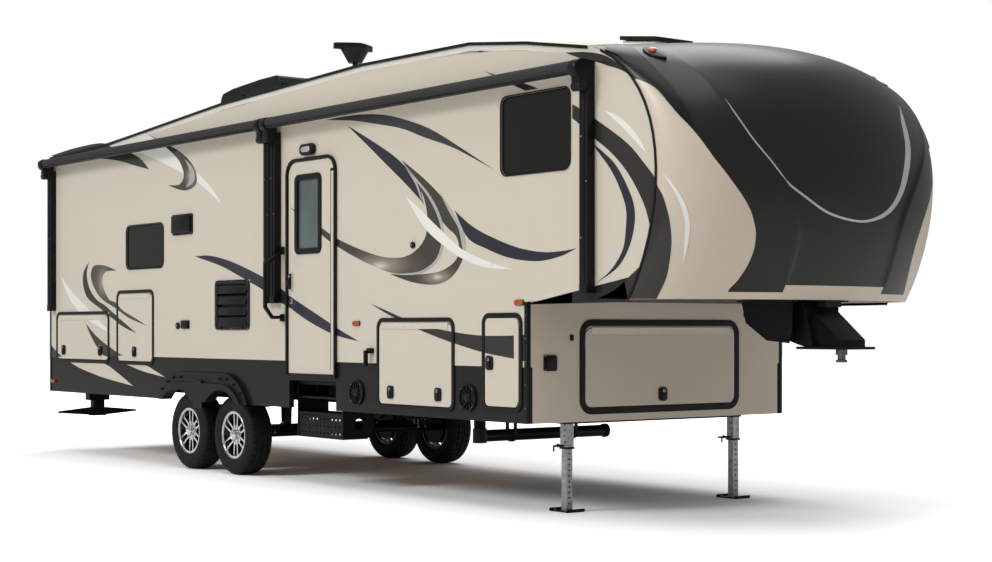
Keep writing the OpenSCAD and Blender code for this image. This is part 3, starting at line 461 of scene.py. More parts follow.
def around(panels, field):
    """Rectangles that cover the field apart from the panels, which don't overlap."""
    rest = [field]
    for x0, x1, z0, z1 in panels:
        left = []
        for a0, a1, b0, b1 in rest:
            if x1 <= a0 or x0 >= a1 or z1 <= b0 or z0 >= b1:
                left.append((a0, a1, b0, b1))
                continue
            left += [(a0, x0, b0, b1), (x1, a1, b0, b1), (max(a0, x0), min(a1, x1), b0, z0),
                     (max(a0, x0), min(a1, x1), z1, b1)]
        rest = [r for r in left if r[1] - r[0] > 0.002 and r[3] - r[2] > 0.002]
    return rest


# blades on the door side: name, vinyl, rank over the others, then x and z along the upper edge
# and back along the lower one
GRAPHICS = [
    ("slate_arc", "slate", 1,
     "0.53,2.882 0.87,2.884 1.21,2.860 1.51,2.808 1.91,2.693 2.29,2.526 2.67,2.346",
     "2.44,2.440 2.18,2.539 1.85,2.634 1.57,2.721 1.21,2.790 0.90,2.842"),
    ("navy_blade", "navy", 1,
     "0.83,2.811 1.15,2.674 1.45,2.536 1.65,2.415 1.78,2.313 1.85,2.151",
     "1.74,2.230 1.57,2.344 1.33,2.496 1.09,2.649"),
    ("bronze_loop", "bronze", 2,
     "-0.02,2.231 0.08,2.193 0.46,2.044 0.65,1.961 0.90,1.883 1.21,1.806 1.42,1.777 1.62,1.780 1.77,1.829 "
     "1.87,1.909 1.90,2.012 1.88,2.133 1.83,2.233 1.75,2.326",
     "1.91,2.212 2.02,2.070 2.08,1.948 2.08,1.836 1.99,1.728 1.82,1.665 1.62,1.654 1.42,1.668 1.21,1.718 "
     "0.90,1.811 0.65,1.904 0.46,1.990 0.08,2.180"),
    ("outer_loop", "bronze_dark", 1,
     "1.57,2.489 1.85,2.336 2.10,2.169 2.26,2.018 2.35,1.873 2.32,1.734 2.19,1.615 1.99,1.568 1.71,1.590 "
     "1.42,1.654",
     "1.71,1.645 1.90,1.648 2.05,1.660 2.19,1.703 2.27,1.762 2.285,1.83 2.24,1.910 2.13,1.975 2.00,2.09 "
     "1.86,2.25"),
    ("inner_line", "silver", 3,
     "1.57,2.489 1.75,2.347 1.91,2.228 2.04,2.085 2.10,1.946 2.09,1.820 2.00,1.720 1.82,1.652 1.62,1.644 "
     "1.42,1.657",
     "1.62,1.657 1.81,1.669 1.98,1.732 2.06,1.829 2.07,1.945 2.01,2.073 1.89,2.213 1.74,2.335"),
    ("outer_line", "silver", 2,
     "2.05,2.219 2.19,2.092 2.31,1.969 2.36,1.857 2.34,1.749",
     "2.31,1.856 2.27,1.963 2.16,2.083"),
    ("small_line", "silver", 3,
     "1.57,2.489 1.68,2.396 1.77,2.301 1.82,2.217 1.84,2.151",
     "1.80,2.215 1.75,2.296 1.66,2.393"),
    ("white_streak", "white", 4,
     "1.62,2.221 1.77,2.136 1.99,1.999 2.21,1.866 2.34,1.800 2.60,1.718 2.90,1.650",
     "2.57,1.677 2.29,1.754 2.07,1.856 1.85,1.990"),
    ("navy_wing", "navy", 1,
     "2.23,2.083 2.44,1.962 2.67,1.876 2.95,1.797 3.21,1.758 3.42,1.758 3.56,1.770",
     "3.39,1.723 3.16,1.700 2.87,1.729 2.60,1.802 2.38,1.888"),
    ("nose_band", "charcoal", 1,
     "2.57,3.026 3.12,2.859 3.51,2.707 3.78,2.567 4.05,2.408 4.20,2.278 4.33,2.146 4.38,2.033 4.37,1.90 "
     "4.30,1.80",
     "4.265,1.87 4.225,1.98 4.165,2.083 4.05,2.229 3.90,2.360 3.73,2.470 3.50,2.624 3.24,2.758 2.97,2.866"),
    ("shoulder_wedge", "charcoal", 2,
     "3.45,3.045 3.67,3.02 3.86,2.97 4.03,2.87 4.13,2.80",
     "4.09,2.82 3.99,2.871 3.871,2.91 3.768,2.945 3.60,2.99"),
    ("nose_foot", "charcoal", 1,
     "3.76,1.443 3.93,1.495 4.08,1.582 4.20,1.660 4.29,1.745",
     "4.20,1.434 4.05,1.436 3.90,1.441"),
    ("nose_crescent", "navy", 2,
     "3.72,2.435 3.83,2.364 3.94,2.282 4.04,2.155 4.11,2.028 4.12,1.909 4.07,1.762 3.96,1.637 3.76,1.543",
     "3.90,1.623 4.01,1.745 4.04,1.882 4.04,2.002 3.98,2.135 3.89,2.261 3.78,2.370"),
    ("nose_streak", "white", 1,
     "3.83,2.636 3.96,2.585 4.08,2.506 4.17,2.417 4.23,2.329",
     "4.15,2.394 4.05,2.475 3.95,2.551"),
    ("rear_band", "navy", 1,
     "-1.65,1.886 -1.38,1.884 -0.99,1.820 -0.48,1.684 -0.19,1.586 -0.03,1.518 0.22,1.427 0.56,1.305 "
     "0.73,1.240 0.99,1.156",
     "0.70,1.195 0.48,1.248 0.22,1.328 -0.03,1.424 -0.19,1.468 -0.48,1.578 -0.79,1.675 -1.18,1.790"),
    ("roof_spike", "charcoal", 1,
     "-4.79,3.013 -4.18,3.045 -3.58,3.044 -3.34,2.986 -2.99,2.911 -2.74,2.835 -2.54,2.715",
     "-2.85,2.776 -3.16,2.839 -3.60,2.897 -4.07,2.927"),
    ("rear_white", "white", 1,
     "-3.35,3.004 -3.03,3.047 -2.67,3.061 -2.37,2.966 -1.96,2.767 -1.64,2.632 -1.37,2.485 -1.16,2.318",
     "-1.60,2.537 -1.92,2.648 -2.25,2.751 -2.58,2.844 -2.94,2.941"),
    ("rear_hook", "bronze_hook", 2,
     "-2.67,3.075 -2.29,2.951 -1.91,2.820 -1.69,2.691 -1.61,2.574 -1.66,2.504 -1.82,2.478 -1.98,2.500 "
     "-2.16,2.545",
     "-1.96,2.536 -1.87,2.583 -1.87,2.654 -1.96,2.758 -2.13,2.856 -2.41,2.981"),
    ("rear_hook_light", "silver", 3,
     "-1.84,2.758 -1.70,2.673 -1.65,2.586 -1.70,2.530 -1.82,2.504",
     "-1.77,2.548 -1.74,2.602 -1.76,2.668"),
    ("tail_crescent", "charcoal", 2,
     "-3.86,1.896 -3.90,1.811 -3.89,1.728 -3.82,1.624 -3.67,1.529 -3.49,1.475 -3.30,1.399 -3.03,1.298 "
     "-2.80,1.209",
     "-3.07,1.268 -3.35,1.359 -3.58,1.442 -3.84,1.531 -3.94,1.605 -3.99,1.709 -3.97,1.812"),
    ("tail_chrome", "bronze_tail", 2,
     "-3.23,1.804 -3.46,1.800 -3.54,1.741 -3.52,1.639 -3.39,1.526 -3.25,1.499 -3.07,1.417 -2.85,1.357 "
     "-2.58,1.278",
     "-2.94,1.349 -3.21,1.434 -3.53,1.527 -3.69,1.617 -3.79,1.722 -3.80,1.804 -3.72,1.864 -3.49,1.857"),
    ("tail_white", "white", 1,
     "-4.52,1.784 -4.32,1.653 -4.09,1.545 -3.97,1.491 -3.63,1.340 -3.30,1.192",
     "-3.72,1.299 -4.02,1.383 -4.21,1.489 -4.29,1.537 -4.44,1.677"),
    ("tail_spike", "charcoal", 3,
     "-3.91,1.300 -3.70,1.191 -3.46,1.101 -3.21,1.023 -3.07,1.0",
     "-3.46,0.987 -3.63,1.063 -3.77,1.164"),
    ("tail_wedge", "charcoal", 1,
     "-4.79,1.102 -4.67,1.038 -4.47,0.970",
     "-4.79,0.958 -4.79,1.026"),
    ("skirt_wedge", "cream", 1,
     "-4.29,0.914 -3.87,0.912 -3.50,0.912 -3.16,0.814 -2.88,0.715",
     "-3.49,0.776 -3.82,0.822 -4.07,0.863"),
    ("skirt_wedge_small", "cream", 1,
     "-3.04,0.917 -2.85,0.915 -2.62,0.913 -2.41,0.862 -2.23,0.812",
     "-2.46,0.834 -2.67,0.857 -2.85,0.885"),
    ("low_sweep", "charcoal", 1,
     "1.15,1.441 1.38,1.383 1.62,1.321 1.88,1.268 2.21,1.230 2.41,1.212 2.61,1.203 2.93,1.206 3.15,1.210 "
     "3.40,1.130",
     "3.15,1.035 2.92,1.050 2.58,1.087 2.41,1.114 2.21,1.152 1.88,1.225 1.57,1.305 1.35,1.371"),
]

# doors that graphics run over: body, then x and z of the leaf, from the lower front wall
DOOR_LEAVES = {
    "entry_door": (-3.086, -2.406, 0.894, 2.582),
    "rear_locker_door": (-7.632, -6.472, 0.951, 1.371),
    "middle_locker_door": (-6.234, -5.531, 0.949, 1.564),
    "hold_door": (-1.769, -0.856, 0.696, 1.284),
    "gas_door": (-0.459, -0.096, 0.722, 1.324),
}
DOOR_GLASS = (-2.986, -2.584, 1.844, 2.481)
# openings and fittings that the wall's graphics stop at
OPENINGS = {
    "entry_door": (-3.114, -2.366, 0.866, 2.610),
    "rear_locker_door": (-7.66, -6.444, 0.923, 1.411),
    "middle_locker_door": (-6.262, -5.503, 0.921, 1.604),
    "hold_door": (-1.797, -0.828, 0.668, 1.324),
    "gas_door": (-0.487, -0.056, 0.694, 1.352),
    "front_window": (-0.302, 0.469, 2.268, 2.842),
    "rear_window": (-6.082, -5.283, 1.788, 2.232),
    "small_vent": (-5.114, -4.736, 2.086, 2.269),
    "fridge_vent": (-4.314, -3.726, 1.242, 1.664),
}


def shifted(box):
    """The same rectangle, measured from the middle of the footprint."""
    return (box[0] + SHIFT.x, box[1] + SHIFT.x, box[2], box[3])


FIELD = (REAR_X + 0.03, FRONT_X + 1.5, SKIRT_Z, 3.3)
# joint of the side walls with the cap: height, distance ahead of the lower front wall
SEAM = [(1.435, 1.010), (1.595, 1.108), (1.773, 1.185), (1.961, 1.239), (2.154, 1.264), (2.346, 1.258),
        (2.530, 1.216), (2.700, 1.135), (2.850, 1.011), (2.970, 0.841), (3.065, 0.620)]


def seam(z):
    """How far forward the side wall reaches at a height."""
    for (a, x), (b, far) in zip(SEAM, SEAM[1:]):
        if z <= b:
            return FRONT_X + x + (far - x) * max(z - a, 0) / (b - a)
    return FRONT_X + SEAM[-1][1]


def layer(blade, rects, thickness, place):
    """Cuts a flat blade to rectangles, gives it thickness and stands it on a wall."""
    out = bmesh.new()
    for rect in rects:
        part = blade.copy()
        cut(part, *rect)
        if part.faces:
            join(out, part)
        else:
            part.free()
    bmesh.ops.remove_doubles(out, verts=out.verts, dist=0.0002)
    if out.faces:
        grown = bmesh.ops.extrude_face_region(out, geom=list(out.faces))
        lifted = [v for v in grown["geom"] if isinstance(v, bmesh.types.BMVert)]
        bmesh.ops.translate(out, vec=(0, 0, thickness), verts=lifted)
        bmesh.ops.transform(out, matrix=place @ UPRIGHT, verts=out.verts)
    return out


SLIDE_ROOM = (-6.02, -2.34, 0.90, 2.80)
ROOM_WINDOW = (-4.722, -3.578, 1.478, 2.172)
OFF_LEAVES = {"off_side_hold_door": DOOR_LEAVES["hold_door"]}
OFF_OPENINGS = [OPENINGS["hold_door"], OPENINGS["front_window"], (-7.372, -6.478, 1.788, 2.232), SLIDE_ROOM]


def graphics():
    """Sweeping blades on both walls and on the doors and the slide-out room that they run over."""
    groups = {}

    def put(blade, rects, depth, place, vinyl, body):
        part = layer(blade, rects, depth, place)
        join(groups.setdefault((vinyl, body), bmesh.new()), part)

    wall = Matrix.Translation((0, SHIFT.y - HALF + 0.0004, 0))
    flip = Matrix.Translation((0, 2 * SHIFT.y, 0)) @ Matrix.Scale(-1, 4, (0, 1, 0))
    for name, vinyl, rank, upper, lower in GRAPHICS:
        tips = upper.split()
        blade = sweep(upper, " ".join([tips[0], *reversed(lower.split()), tips[-1]]), 44)
        for vert in blade.verts:
            x, z = vert.co.xy
            vert.co.x = min(x, seam(z) + 0.004 if z > NOSE_Z - 0.02 else FRONT_X - 0.030)
        depth = 0.0012 + 0.0006 * rank
        for body, leaf in DOOR_LEAVES.items():
            panes = [shifted(DOOR_GLASS)] if body == "entry_door" else []
            put(blade, around(panes, shifted(leaf)), depth, proud(wall, PROUD), vinyl, body)
        put(blade, around([shifted(o) for o in OPENINGS.values()], FIELD), depth, wall, vinyl, BODY)
        put(blade, around([shifted(o) for o in OFF_OPENINGS], FIELD), depth, flip @ wall, vinyl, BODY)
        for body, leaf in OFF_LEAVES.items():
            put(blade, [shifted(leaf)], depth, proud(flip, PROUD) @ wall, vinyl, body)
        face = around([shifted(ROOM_WINDOW)], shifted(SLIDE_ROOM))
        put(blade, face, depth, proud(flip, ROOM_OUT) @ wall, vinyl, "slide_room")
        blade.free()
    for (vinyl, body), bm in groups.items():
        if bm.faces:
            piece(f"{vinyl}_graphics_{body}", bm, VINYL[vinyl], body, smooth=0)
        else:
            bm.free()


graphics()


# Copies with eased edges, and round copies of moulded pieces

def body_of(node):
    """Body that a solid belongs to."""
    for body, nodes in frame["record"]["behaviour"]["bodies"].items():
        if node in nodes:
            return body
    return BODY


def merged(node):
    """Mesh of a solid with its flat faces whole again."""
    bm = bmesh.new()
    bm.from_mesh(frame["nodes"][node].data)
    bmesh.ops.remove_doubles(bm, verts=bm.verts, dist=0.0001)
    return bm


def round_copy(node, levels):
    """Copy with its curved faces rounded and its sharp edges kept."""
    bm = merged(node)
    bmesh.ops.join_triangles(bm, faces=bm.faces, angle_face_threshold=0.6, angle_shape_threshold=1.2)
    layer_crease = bm.edges.layers.float.new("crease_edge")
    for edge in bm.edges:
        if edge.is_boundary or edge.calc_face_angle(0) > 0.6:
            edge[layer_crease] = 1.0
    made = piece(node + "_shell", bm, FINISHES[SLOTS[node]], body_of(node), smooth=0.7)
    soft = made.modifiers.new("round", "SUBSURF")
    soft.levels = soft.render_levels = levels
    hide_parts(node)
    return made


def soft_copy(node, width, second=None, pick=None):
    """Copy with bevelled edges; pick chooses the faces that take a second finish."""
    bm = merged(node)
    bmesh.ops.dissolve_limit(bm, angle_limit=0.02, verts=bm.verts, edges=bm.edges)
    if pick:
        for face in bm.faces:
            face.material_index = int(pick(face.calc_center_median() - SHIFT))
    made = piece(node + "_shell", bm, FINISHES[SLOTS[node]], body_of(node))
    if second:
        made.data.materials.append(second)
    soft = made.modifiers.new("edges", "BEVEL")
    soft.width = width
    soft.segments = 2
    soft.limit_method = "ANGLE"
    soft.angle_limit = 0.7
    soft.harden_normals = True
    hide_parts(node)


CAP = round_copy("front_cap", 2)
round_copy("roof", 1)

EASED = {
    0.006: ["fenders", "air_conditioner"],
    0.004: ["entry_door", "rear_locker_door", "middle_locker_door", "hold_door", "off_side_hold_door",
            "gas_door", "front_door", "vent_lid", "slide_room"],
    0.003: ["window_frames", "door_frames", "edge_trims", "wall_fittings", "grab_handle", "antenna",
            "porch_light", "marker_lights", "tail_lights", "awnings", "pin_box", "bumper", "roof_fittings"],
    0.002: ["entry_steps", "appliance_vents", "slide_window", "kingpin", "stabilisers", "axles", "sewer_tube",
            "chassis", "outriggers", "hold_frame"],
}
for width, names in EASED.items():
    for node in names:
        soft_copy(node, width)
soft_copy("landing_legs", 0.0015, second=FINISHES["galvanised"],
          pick=lambda p: 0.03 < p.z < 0.66 and abs(p.x + 0.09) < 0.038)


# Wheels

def lathe(bm, outline, place, steps):
    """Spins a line of (radius, along) points around the local Z axis."""
    start = bmesh.ops.create_vert(bm, co=(outline[0][0], 0, outline[0][1]))["vert"][0]
    chain = [start]
    for radius, along in outline[1:]:
        vert = bmesh.ops.extrude_vert_indiv(bm, verts=[chain[-1]])["verts"][0]
        vert.co = (radius, 0, along)
        chain.append(vert)
    edges = list({e for v in chain for e in v.link_edges})
    old = set(bm.verts) - set(chain)
    bmesh.ops.spin(bm, geom=[*chain, *edges], cent=(0, 0, 0), axis=(0, 0, 1), angle=math.tau, steps=steps,
                   use_merge=True)
    fresh = [v for v in bm.verts if v not in old]
    bmesh.ops.remove_doubles(bm, verts=fresh, dist=0.00005)
    bmesh.ops.transform(bm, matrix=place, verts=[v for v in bm.verts if v not in old])


TREAD_STEPS = 144
# half of the tyre's section, from the middle of the tread: radius, distance out
TREAD = [(0.340, 0.006), (0.331, 0.008), (0.331, 0.015), (0.3395, 0.017), (0.339, 0.042), (0.330, 0.044),
         (0.330, 0.051), (0.3378, 0.053), (0.336, 0.072), (0.332, 0.085), (0.325, 0.095), (0.312, 0.1045),
         (0.300, 0.1085), (0.298, 0.1105), (0.293, 0.1108), (0.291, 0.1095), (0.272, 0.1118), (0.270, 0.1132),
         (0.264, 0.1133), (0.262, 0.112), (0.245, 0.111), (0.232, 0.109), (0.228, 0.1085), (0.226, 0.1055),
         (0.216, 0.103), (0.208, 0.096), (0.205, 0.0885)]


def wheel_place(x, side):
    """Placement with local Z pointing out of a wheel."""
    middle = Matrix.Translation((x, SHIFT.y + side * (TYRE_OUT - TYRE_W / 2), WHEEL_Z))
    return middle @ Matrix.Rotation(-side * math.pi / 2, 4, "X")


def wheel_details(end, x, name, side):
    """Tyre with cut tread and ribbed walls, and the nuts, rings, valve and drum of its wheel."""
    body = f"{end}_{name}_wheel"
    place = wheel_place(x, side)
    bm = bmesh.new()
    lathe(bm, [(r, -d) for r, d in reversed(TREAD)] + TREAD, place, TREAD_STEPS)
    bmesh.ops.recalc_face_normals(bm, faces=bm.faces)
    back = place.inverted()
    blocks = []
    for face in bm.faces:
        spot = back @ face.calc_center_median()
        turn = round(math.atan2(spot.y, spot.x) / math.tau * TREAD_STEPS - 0.5)
        across = abs(spot.z)
        rib = 0.016 < across < 0.043 or 0.052 < across < 0.09
        if math.hypot(spot.x, spot.y) > 0.3285 and rib and turn % 4 == (0 if spot.z > 0 else 2):
            blocks.append(face)
    bmesh.ops.inset_individual(bm, faces=blocks, thickness=0.0026, depth=-0.006, use_even_offset=True)
    made = piece(body + "_rubber", bm, FINISHES["tyre_rubber"], body, smooth=0.5)
    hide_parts(f"{end}_{name}_tyre")
    soft_copy(body, 0.0022)
    bm = bmesh.new()
    for k in range(6):
        spin = place @ Matrix.Rotation(math.tau * k / 6, 4, "Z")
        drum(bm, (0.064, 0, 0.066), 0.0092, 0.018, "Z", 0.0015, 6, at=spin)
        drum(bm, (0.064, 0, 0.078), 0.0075, 0.008, "Z", 0.002, 16, top=0.005, at=spin)
    lathe(bm, [(0.0455, 0.070), (0.0455, 0.100), (0.043, 0.1035), (0.038, 0.1045), (0.036, 0.103),
               (0.024, 0.1055),
               (0.010, 0.1068), (0.0001, 0.107)], place, 40)
    lathe(bm, [(0.2065, 0.0880), (0.2068, 0.0925), (0.2035, 0.0950), (0.1990, 0.0945), (0.1975, 0.0915)],
          place, 96)
    lathe(bm, [(0.1860, 0.0700), (0.1855, 0.0745), (0.1820, 0.0745), (0.1805, 0.0700)], place, 96)
    fitting(body + "_chrome", bm, "polished_wheel", body)
    bm = bmesh.new()
    drum(bm, (0.150, 0.100, 0.080), 0.0042, 0.034, "Z", 0.001, 10, at=place)
    lathe(bm, [(0.150, -0.030), (0.150, 0.004), (0.050, 0.006)], place, 48)
    fitting(body + "_drum_face", bm, "black_steel", body)


for end, x in WHEELS.items():
    for name, side in (("door_side", -1), ("off_side", 1)):
        wheel_details(end, x + SHIFT.x, name, side)


# Fittings on the doors and walls

def ring_frame(bm, x0, x1, z0, z1, radius, width, depth, at):
    """Moulded frame with round corners, drawn on the wall and standing out of it."""
    old = set(bm.verts)
    verts = bmesh.ops.create_grid(bm, x_segments=1, y_segments=1, size=0.5)["verts"]
    for vert in verts:
        x, z = vert.co.x * (x1 - x0), vert.co.y * (z1 - z0)
        vert.co = Vector(((x0 + x1) / 2 + x, (z0 + z1) / 2 + z, 0))
    bmesh.ops.bevel(bm, geom=verts, offset=radius, segments=6, profile=0.5, affect="VERTICES", material=-1)
    face = next(v for v in bm.verts if v not in old).link_faces[0]
    rim = bmesh.ops.inset_region(bm, faces=[face], thickness=width, use_boundary=True,
                                 use_even_offset=True)["faces"]
    bmesh.ops.delete(bm, geom=[face], context="FACES_ONLY")
    grown = bmesh.ops.extrude_face_region(bm, geom=rim, use_keep_orig=True)["geom"]
    top = [f for f in grown if isinstance(f, bmesh.types.BMFace)]
    bmesh.ops.translate(bm, vec=(0, 0, depth), verts=list({v for f in top for v in f.verts}))
    sharp = [e for e in {e for f in top for e in f.edges} if sum(f in top for f in e.link_faces) == 1]
    ease(bm, [], sharp, 0.0015)
    bmesh.ops.transform(bm, matrix=at @ UPRIGHT, verts=[v for v in bm.verts if v not in old])


def screws(bm, spots, at, radius=0.0038):
    for x, z in spots:
        drum(bm, (x, -0.0008, z), radius, 0.003, "Y", 0.0009, 10, at=at)


def walk(a, b, step):
    """Evenly spaced places between two ends, about a step apart."""
    count = max(int(abs(b - a) / step), 1)
    return [a + (b - a) * (i + 0.5) / count for i in range(count)]


def latch(bm, chrome, x, z, at):
    """Thumb latch: raised housing, a dished paddle and a round lock."""
    block(bm, (x - 0.038, -0.0190, z + 0.002), (x + 0.038, -0.0060, z + 0.103), 0.002, 0.026, at)
    block(bm, (x - 0.026, -0.0215, z + 0.008), (x + 0.026, -0.016, z + 0.097), 0.0018, 0.012, at)
    block(bm, (x - 0.019, -0.0265, z + 0.010), (x + 0.019, -0.020, z + 0.054), 0.002, 0.006, at)
    drum(chrome, (x, -0.0235, z + 0.078), 0.0115, 0.006, "Y", 0.0012, 24, at=at)
    drum(bm, (x, -0.0265, z + 0.078), 0.0072, 0.003, "Y", 0.0006, 20, at=at)
    block(chrome, (x - 0.0009, -0.0288, z + 0.0735), (x + 0.0009, -0.0278, z + 0.0825), 0.0, 0.0, at)


def locker_fittings(body, leaf, latches, place, top_hinged):
    """Latches and hinge screws of one storage door."""
    x0, x1, z0, z1, corner = leaf
    dark, chrome = bmesh.new(), bmesh.new()
    for x, z in latches:
        latch(dark, chrome, x, z, place)
    inset, step = 0.027, 0.11
    if top_hinged:
        spots = [(x, z1 - inset) for x in walk(x0 + corner, x1 - corner, step)]
    else:
        spots = [(x1 - inset, z) for z in walk(z0 + corner, z1 - corner, step)]
    screws(chrome, spots, proud(place, HINGE_OUT))
    fitting(body + "_latches", dark, body=body)
    piece(body + "_screws", chrome, SCREW, body)


# storage doors: leaf in x and z from the lower front wall or the centreline with its corner radius,
# and the foot of each latch
LOCKERS = {
    "rear_locker_door": ((-7.638, -6.466, 0.945, 1.377, 0.045), [(-7.478, 0.985), (-6.626, 0.985)]),
    "middle_locker_door": ((-6.240, -5.525, 0.943, 1.570, 0.045), [(-5.8825, 0.983)]),
    "hold_door": ((-1.775, -0.850, 0.690, 1.290, 0.045), [(-1.615, 0.730), (-1.010, 0.730)]),
    "gas_door": ((-0.465, -0.090, 0.716, 1.330, 0.045), [(-0.403, 0.965)]),
    "front_door": ((-0.720, 0.720, 0.707, 1.259, 0.060), [(0.0, 0.737)]),
    "off_side_hold_door": ((0.850, 1.775, 0.690, 1.290, 0.045), [(1.010, 0.730), (1.615, 0.730)]),
}
PLACES = {"front_door": on_front(0, 0), "off_side_hold_door": on_off_side(0, 0)}
for body, (leaf, latches) in LOCKERS.items():
    locker_fittings(body, leaf, latches, PLACES.get(body, on_side(0, 0)), body != "gas_door")


def entry_fittings():
    """Handle, locks, window frame and hinge screws of the entry door."""
    at = on_side(0, 0)
    dark, chrome = bmesh.new(), bmesh.new()
    ring_frame(dark, *DOOR_GLASS, 0.055, 0.046, 0.010, proud(at, 0.0055))
    block(dark, (-3.060, -0.031, 1.566), (-3.014, -0.022, 1.694), 0.003, 0.012, at)
    block(dark, (-3.053, -0.044, 1.590), (-3.021, -0.029, 1.646), 0.004, 0.008, at)
    drum(chrome, (-3.037, -0.033, 1.672), 0.011, 0.006, "Y", 0.0012, 24, at=at)
    drum(chrome, (-3.037, -0.010, 1.470), 0.021, 0.012, "Y", 0.003, 28, at=at)
    drum(dark, (-3.037, -0.0175, 1.470), 0.009, 0.004, "Y", 0.0008, 20, at=at)
    block(dark, (-2.450, -0.0115, 0.930), (-2.412, -0.0050, 2.500), 0.002, 0.0, at)
    screws(chrome, [(-2.431, z) for z in walk(0.94, 2.48, 0.30)], proud(at, HINGE_OUT))
    fitting("entry_door_handle", dark, body="entry_door")
    piece("entry_door_locks", chrome, SCREW, "entry_door")


entry_fittings()


def awning_details():
    """Fabric roll with its hem and end caps, and the screws up the arms."""
    fabric, dark, chrome = bmesh.new(), bmesh.new(), bmesh.new()
    y = -HALF - ROLLER_OUT
    for x0, x1 in ((-7.757, -3.322), (-3.299, 0.680)):
        centre = SHIFT + Vector(((x0 + x1) / 2, y, ROLLER_Z))
        drum(fabric, centre, 0.0445, x1 - x0 - 0.10, "X", 0.0, 40)
        drum(dark, centre + Vector((0, -0.030, -0.036)), 0.009, x1 - x0 - 0.12, "X", 0.003, 16)
        for x, outward in ((x0 + 0.022, -0.019), (x1 - 0.022, 0.019)):
            drum(dark, SHIFT + Vector((x, y, ROLLER_Z)), 0.049, 0.040, "X", 0.006, 40)
            drum(chrome, SHIFT + Vector((x + outward, y, ROLLER_Z)), 0.011, 0.006, "X", 0.002, 16)
    at = on_side(0, 0, 0.060)
    for x, low in ((-7.770, 1.430), (-3.402, 1.460), (-3.301, 1.460), (0.608, 1.480)):
        screws(chrome, [(x + 0.017, z) for z in walk(low + 0.03, 2.80, 0.45)], at, 0.0045)
        screws(chrome, [(x + 0.067, z) for z in walk(low + 0.20, 2.70, 0.60)], at, 0.0045)
        block(dark, (x + 0.002, -0.070, 2.760), (x + 0.082, 0.020, 2.960), 0.006, 0.030, at)
        drum(dark, (x + 0.042, -0.051, 2.905), 0.058, 0.076, "X", 0.010, 32, at=at)
        drum(dark, (x + 0.042, -0.044, 2.790), 0.030, 0.088, "X", 0.005, 24, at=at)
        block(dark, (x + 0.036, -0.004, low + 0.05), (x + 0.048, 0.020, 2.80), 0.001, 0.0, at)
        block(dark, (x + 0.004, -0.006, low - 0.002), (x + 0.080, 0.030, low + 0.060), 0.003, 0.006, at)
    piece("awning_fabric", fabric, AWNING)
    fitting("awning_fittings", dark)
    piece("awning_screws", chrome, SCREW)


awning_details()


# Graphics and mouldings laid on the curved cap

def projector(obj, direction):
    """Finds where a line through a point meets a surface: place and outward normal."""
    tree = BVHTree.FromObject(obj, bpy.context.evaluated_depsgraph_get())
    direction = Vector(direction)

    def find(point):
        hit, normal, _, _ = tree.ray_cast(point - direction * 4.0, direction)
        if hit is None:
            hit, normal, _, _ = tree.find_nearest(point)
        return hit, (normal if normal.dot(direction) < 0 else -normal)
    return find


def drape(blade, find, lift, rise, thickness):
    """Lays a flat blade on a surface and gives it an even thickness."""
    outward = {}
    for vert in blade.verts:
        hit, normal = find(lift(vert.co))
        vert.co = hit + normal * rise
        outward[vert.co.to_tuple(5)] = normal
    bmesh.ops.recalc_face_normals(blade, faces=blade.faces)
    grown = bmesh.ops.extrude_face_region(blade, geom=list(blade.faces), use_keep_orig=True)["geom"]
    for vert in grown:
        if isinstance(vert, bmesh.types.BMVert):
            vert.co = vert.co + outward[vert.co.to_tuple(5)] * thickness
    return blade


# blades on the cap's side, x and z from the lower front wall: vinyl, thickness, front edge, rear edge
CAP_SIDES = [
    ("charcoal", 0.0012,
     "1.262,2.200 1.267,2.138 1.315,2.059 1.348,1.928 1.347,1.788 1.316,1.659 1.274,1.551 1.200,1.437",
     "1.262,2.200 1.257,2.050 1.239,1.961 1.215,1.860 1.185,1.773 1.150,1.680 1.108,1.595 1.012,1.437"),
    ("white", 0.0018, "1.303,2.209 1.378,2.137 1.434,2.029 1.451,1.914 1.430,1.790 1.379,1.646",
     "1.303,2.209 1.365,2.128 1.412,2.022 1.429,1.914 1.413,1.797 1.379,1.646"),
]
# ring around the bare middle of the cap, y and z: outer edge, inner edge
CAP_RING = ("-0.899,2.658 -0.873,2.545 -0.806,2.401 -0.696,2.261 -0.584,2.140 -0.425,2.045 -0.261,1.967 "
            "-0.063,1.928 0.120,1.927 0.313,1.981 0.446,2.092 0.535,2.239 0.605,2.425 0.628,2.612 "
            "0.667,2.731",
            "-0.899,2.658 -0.862,2.547 -0.797,2.407 -0.690,2.270 -0.577,2.152 -0.420,2.058 -0.257,1.981 "
            "-0.061,1.942 0.110,1.942 0.290,2.005 0.405,2.117 0.474,2.260 0.530,2.425 0.566,2.600 "
            "0.667,2.731")
# raised moulding along the shoulder of the cap, x and z: upper edge, lower edge
SHOULDER = ("0.740,3.060 0.891,3.021 1.032,2.949 1.144,2.873 1.213,2.816 1.285,2.753 1.340,2.693 "
            "1.408,2.600 1.470,2.480",
            "0.740,3.060 0.781,3.011 0.909,2.956 1.030,2.869 1.120,2.810 1.190,2.759 1.257,2.703 "
            "1.310,2.649 1.372,2.579 1.470,2.480")


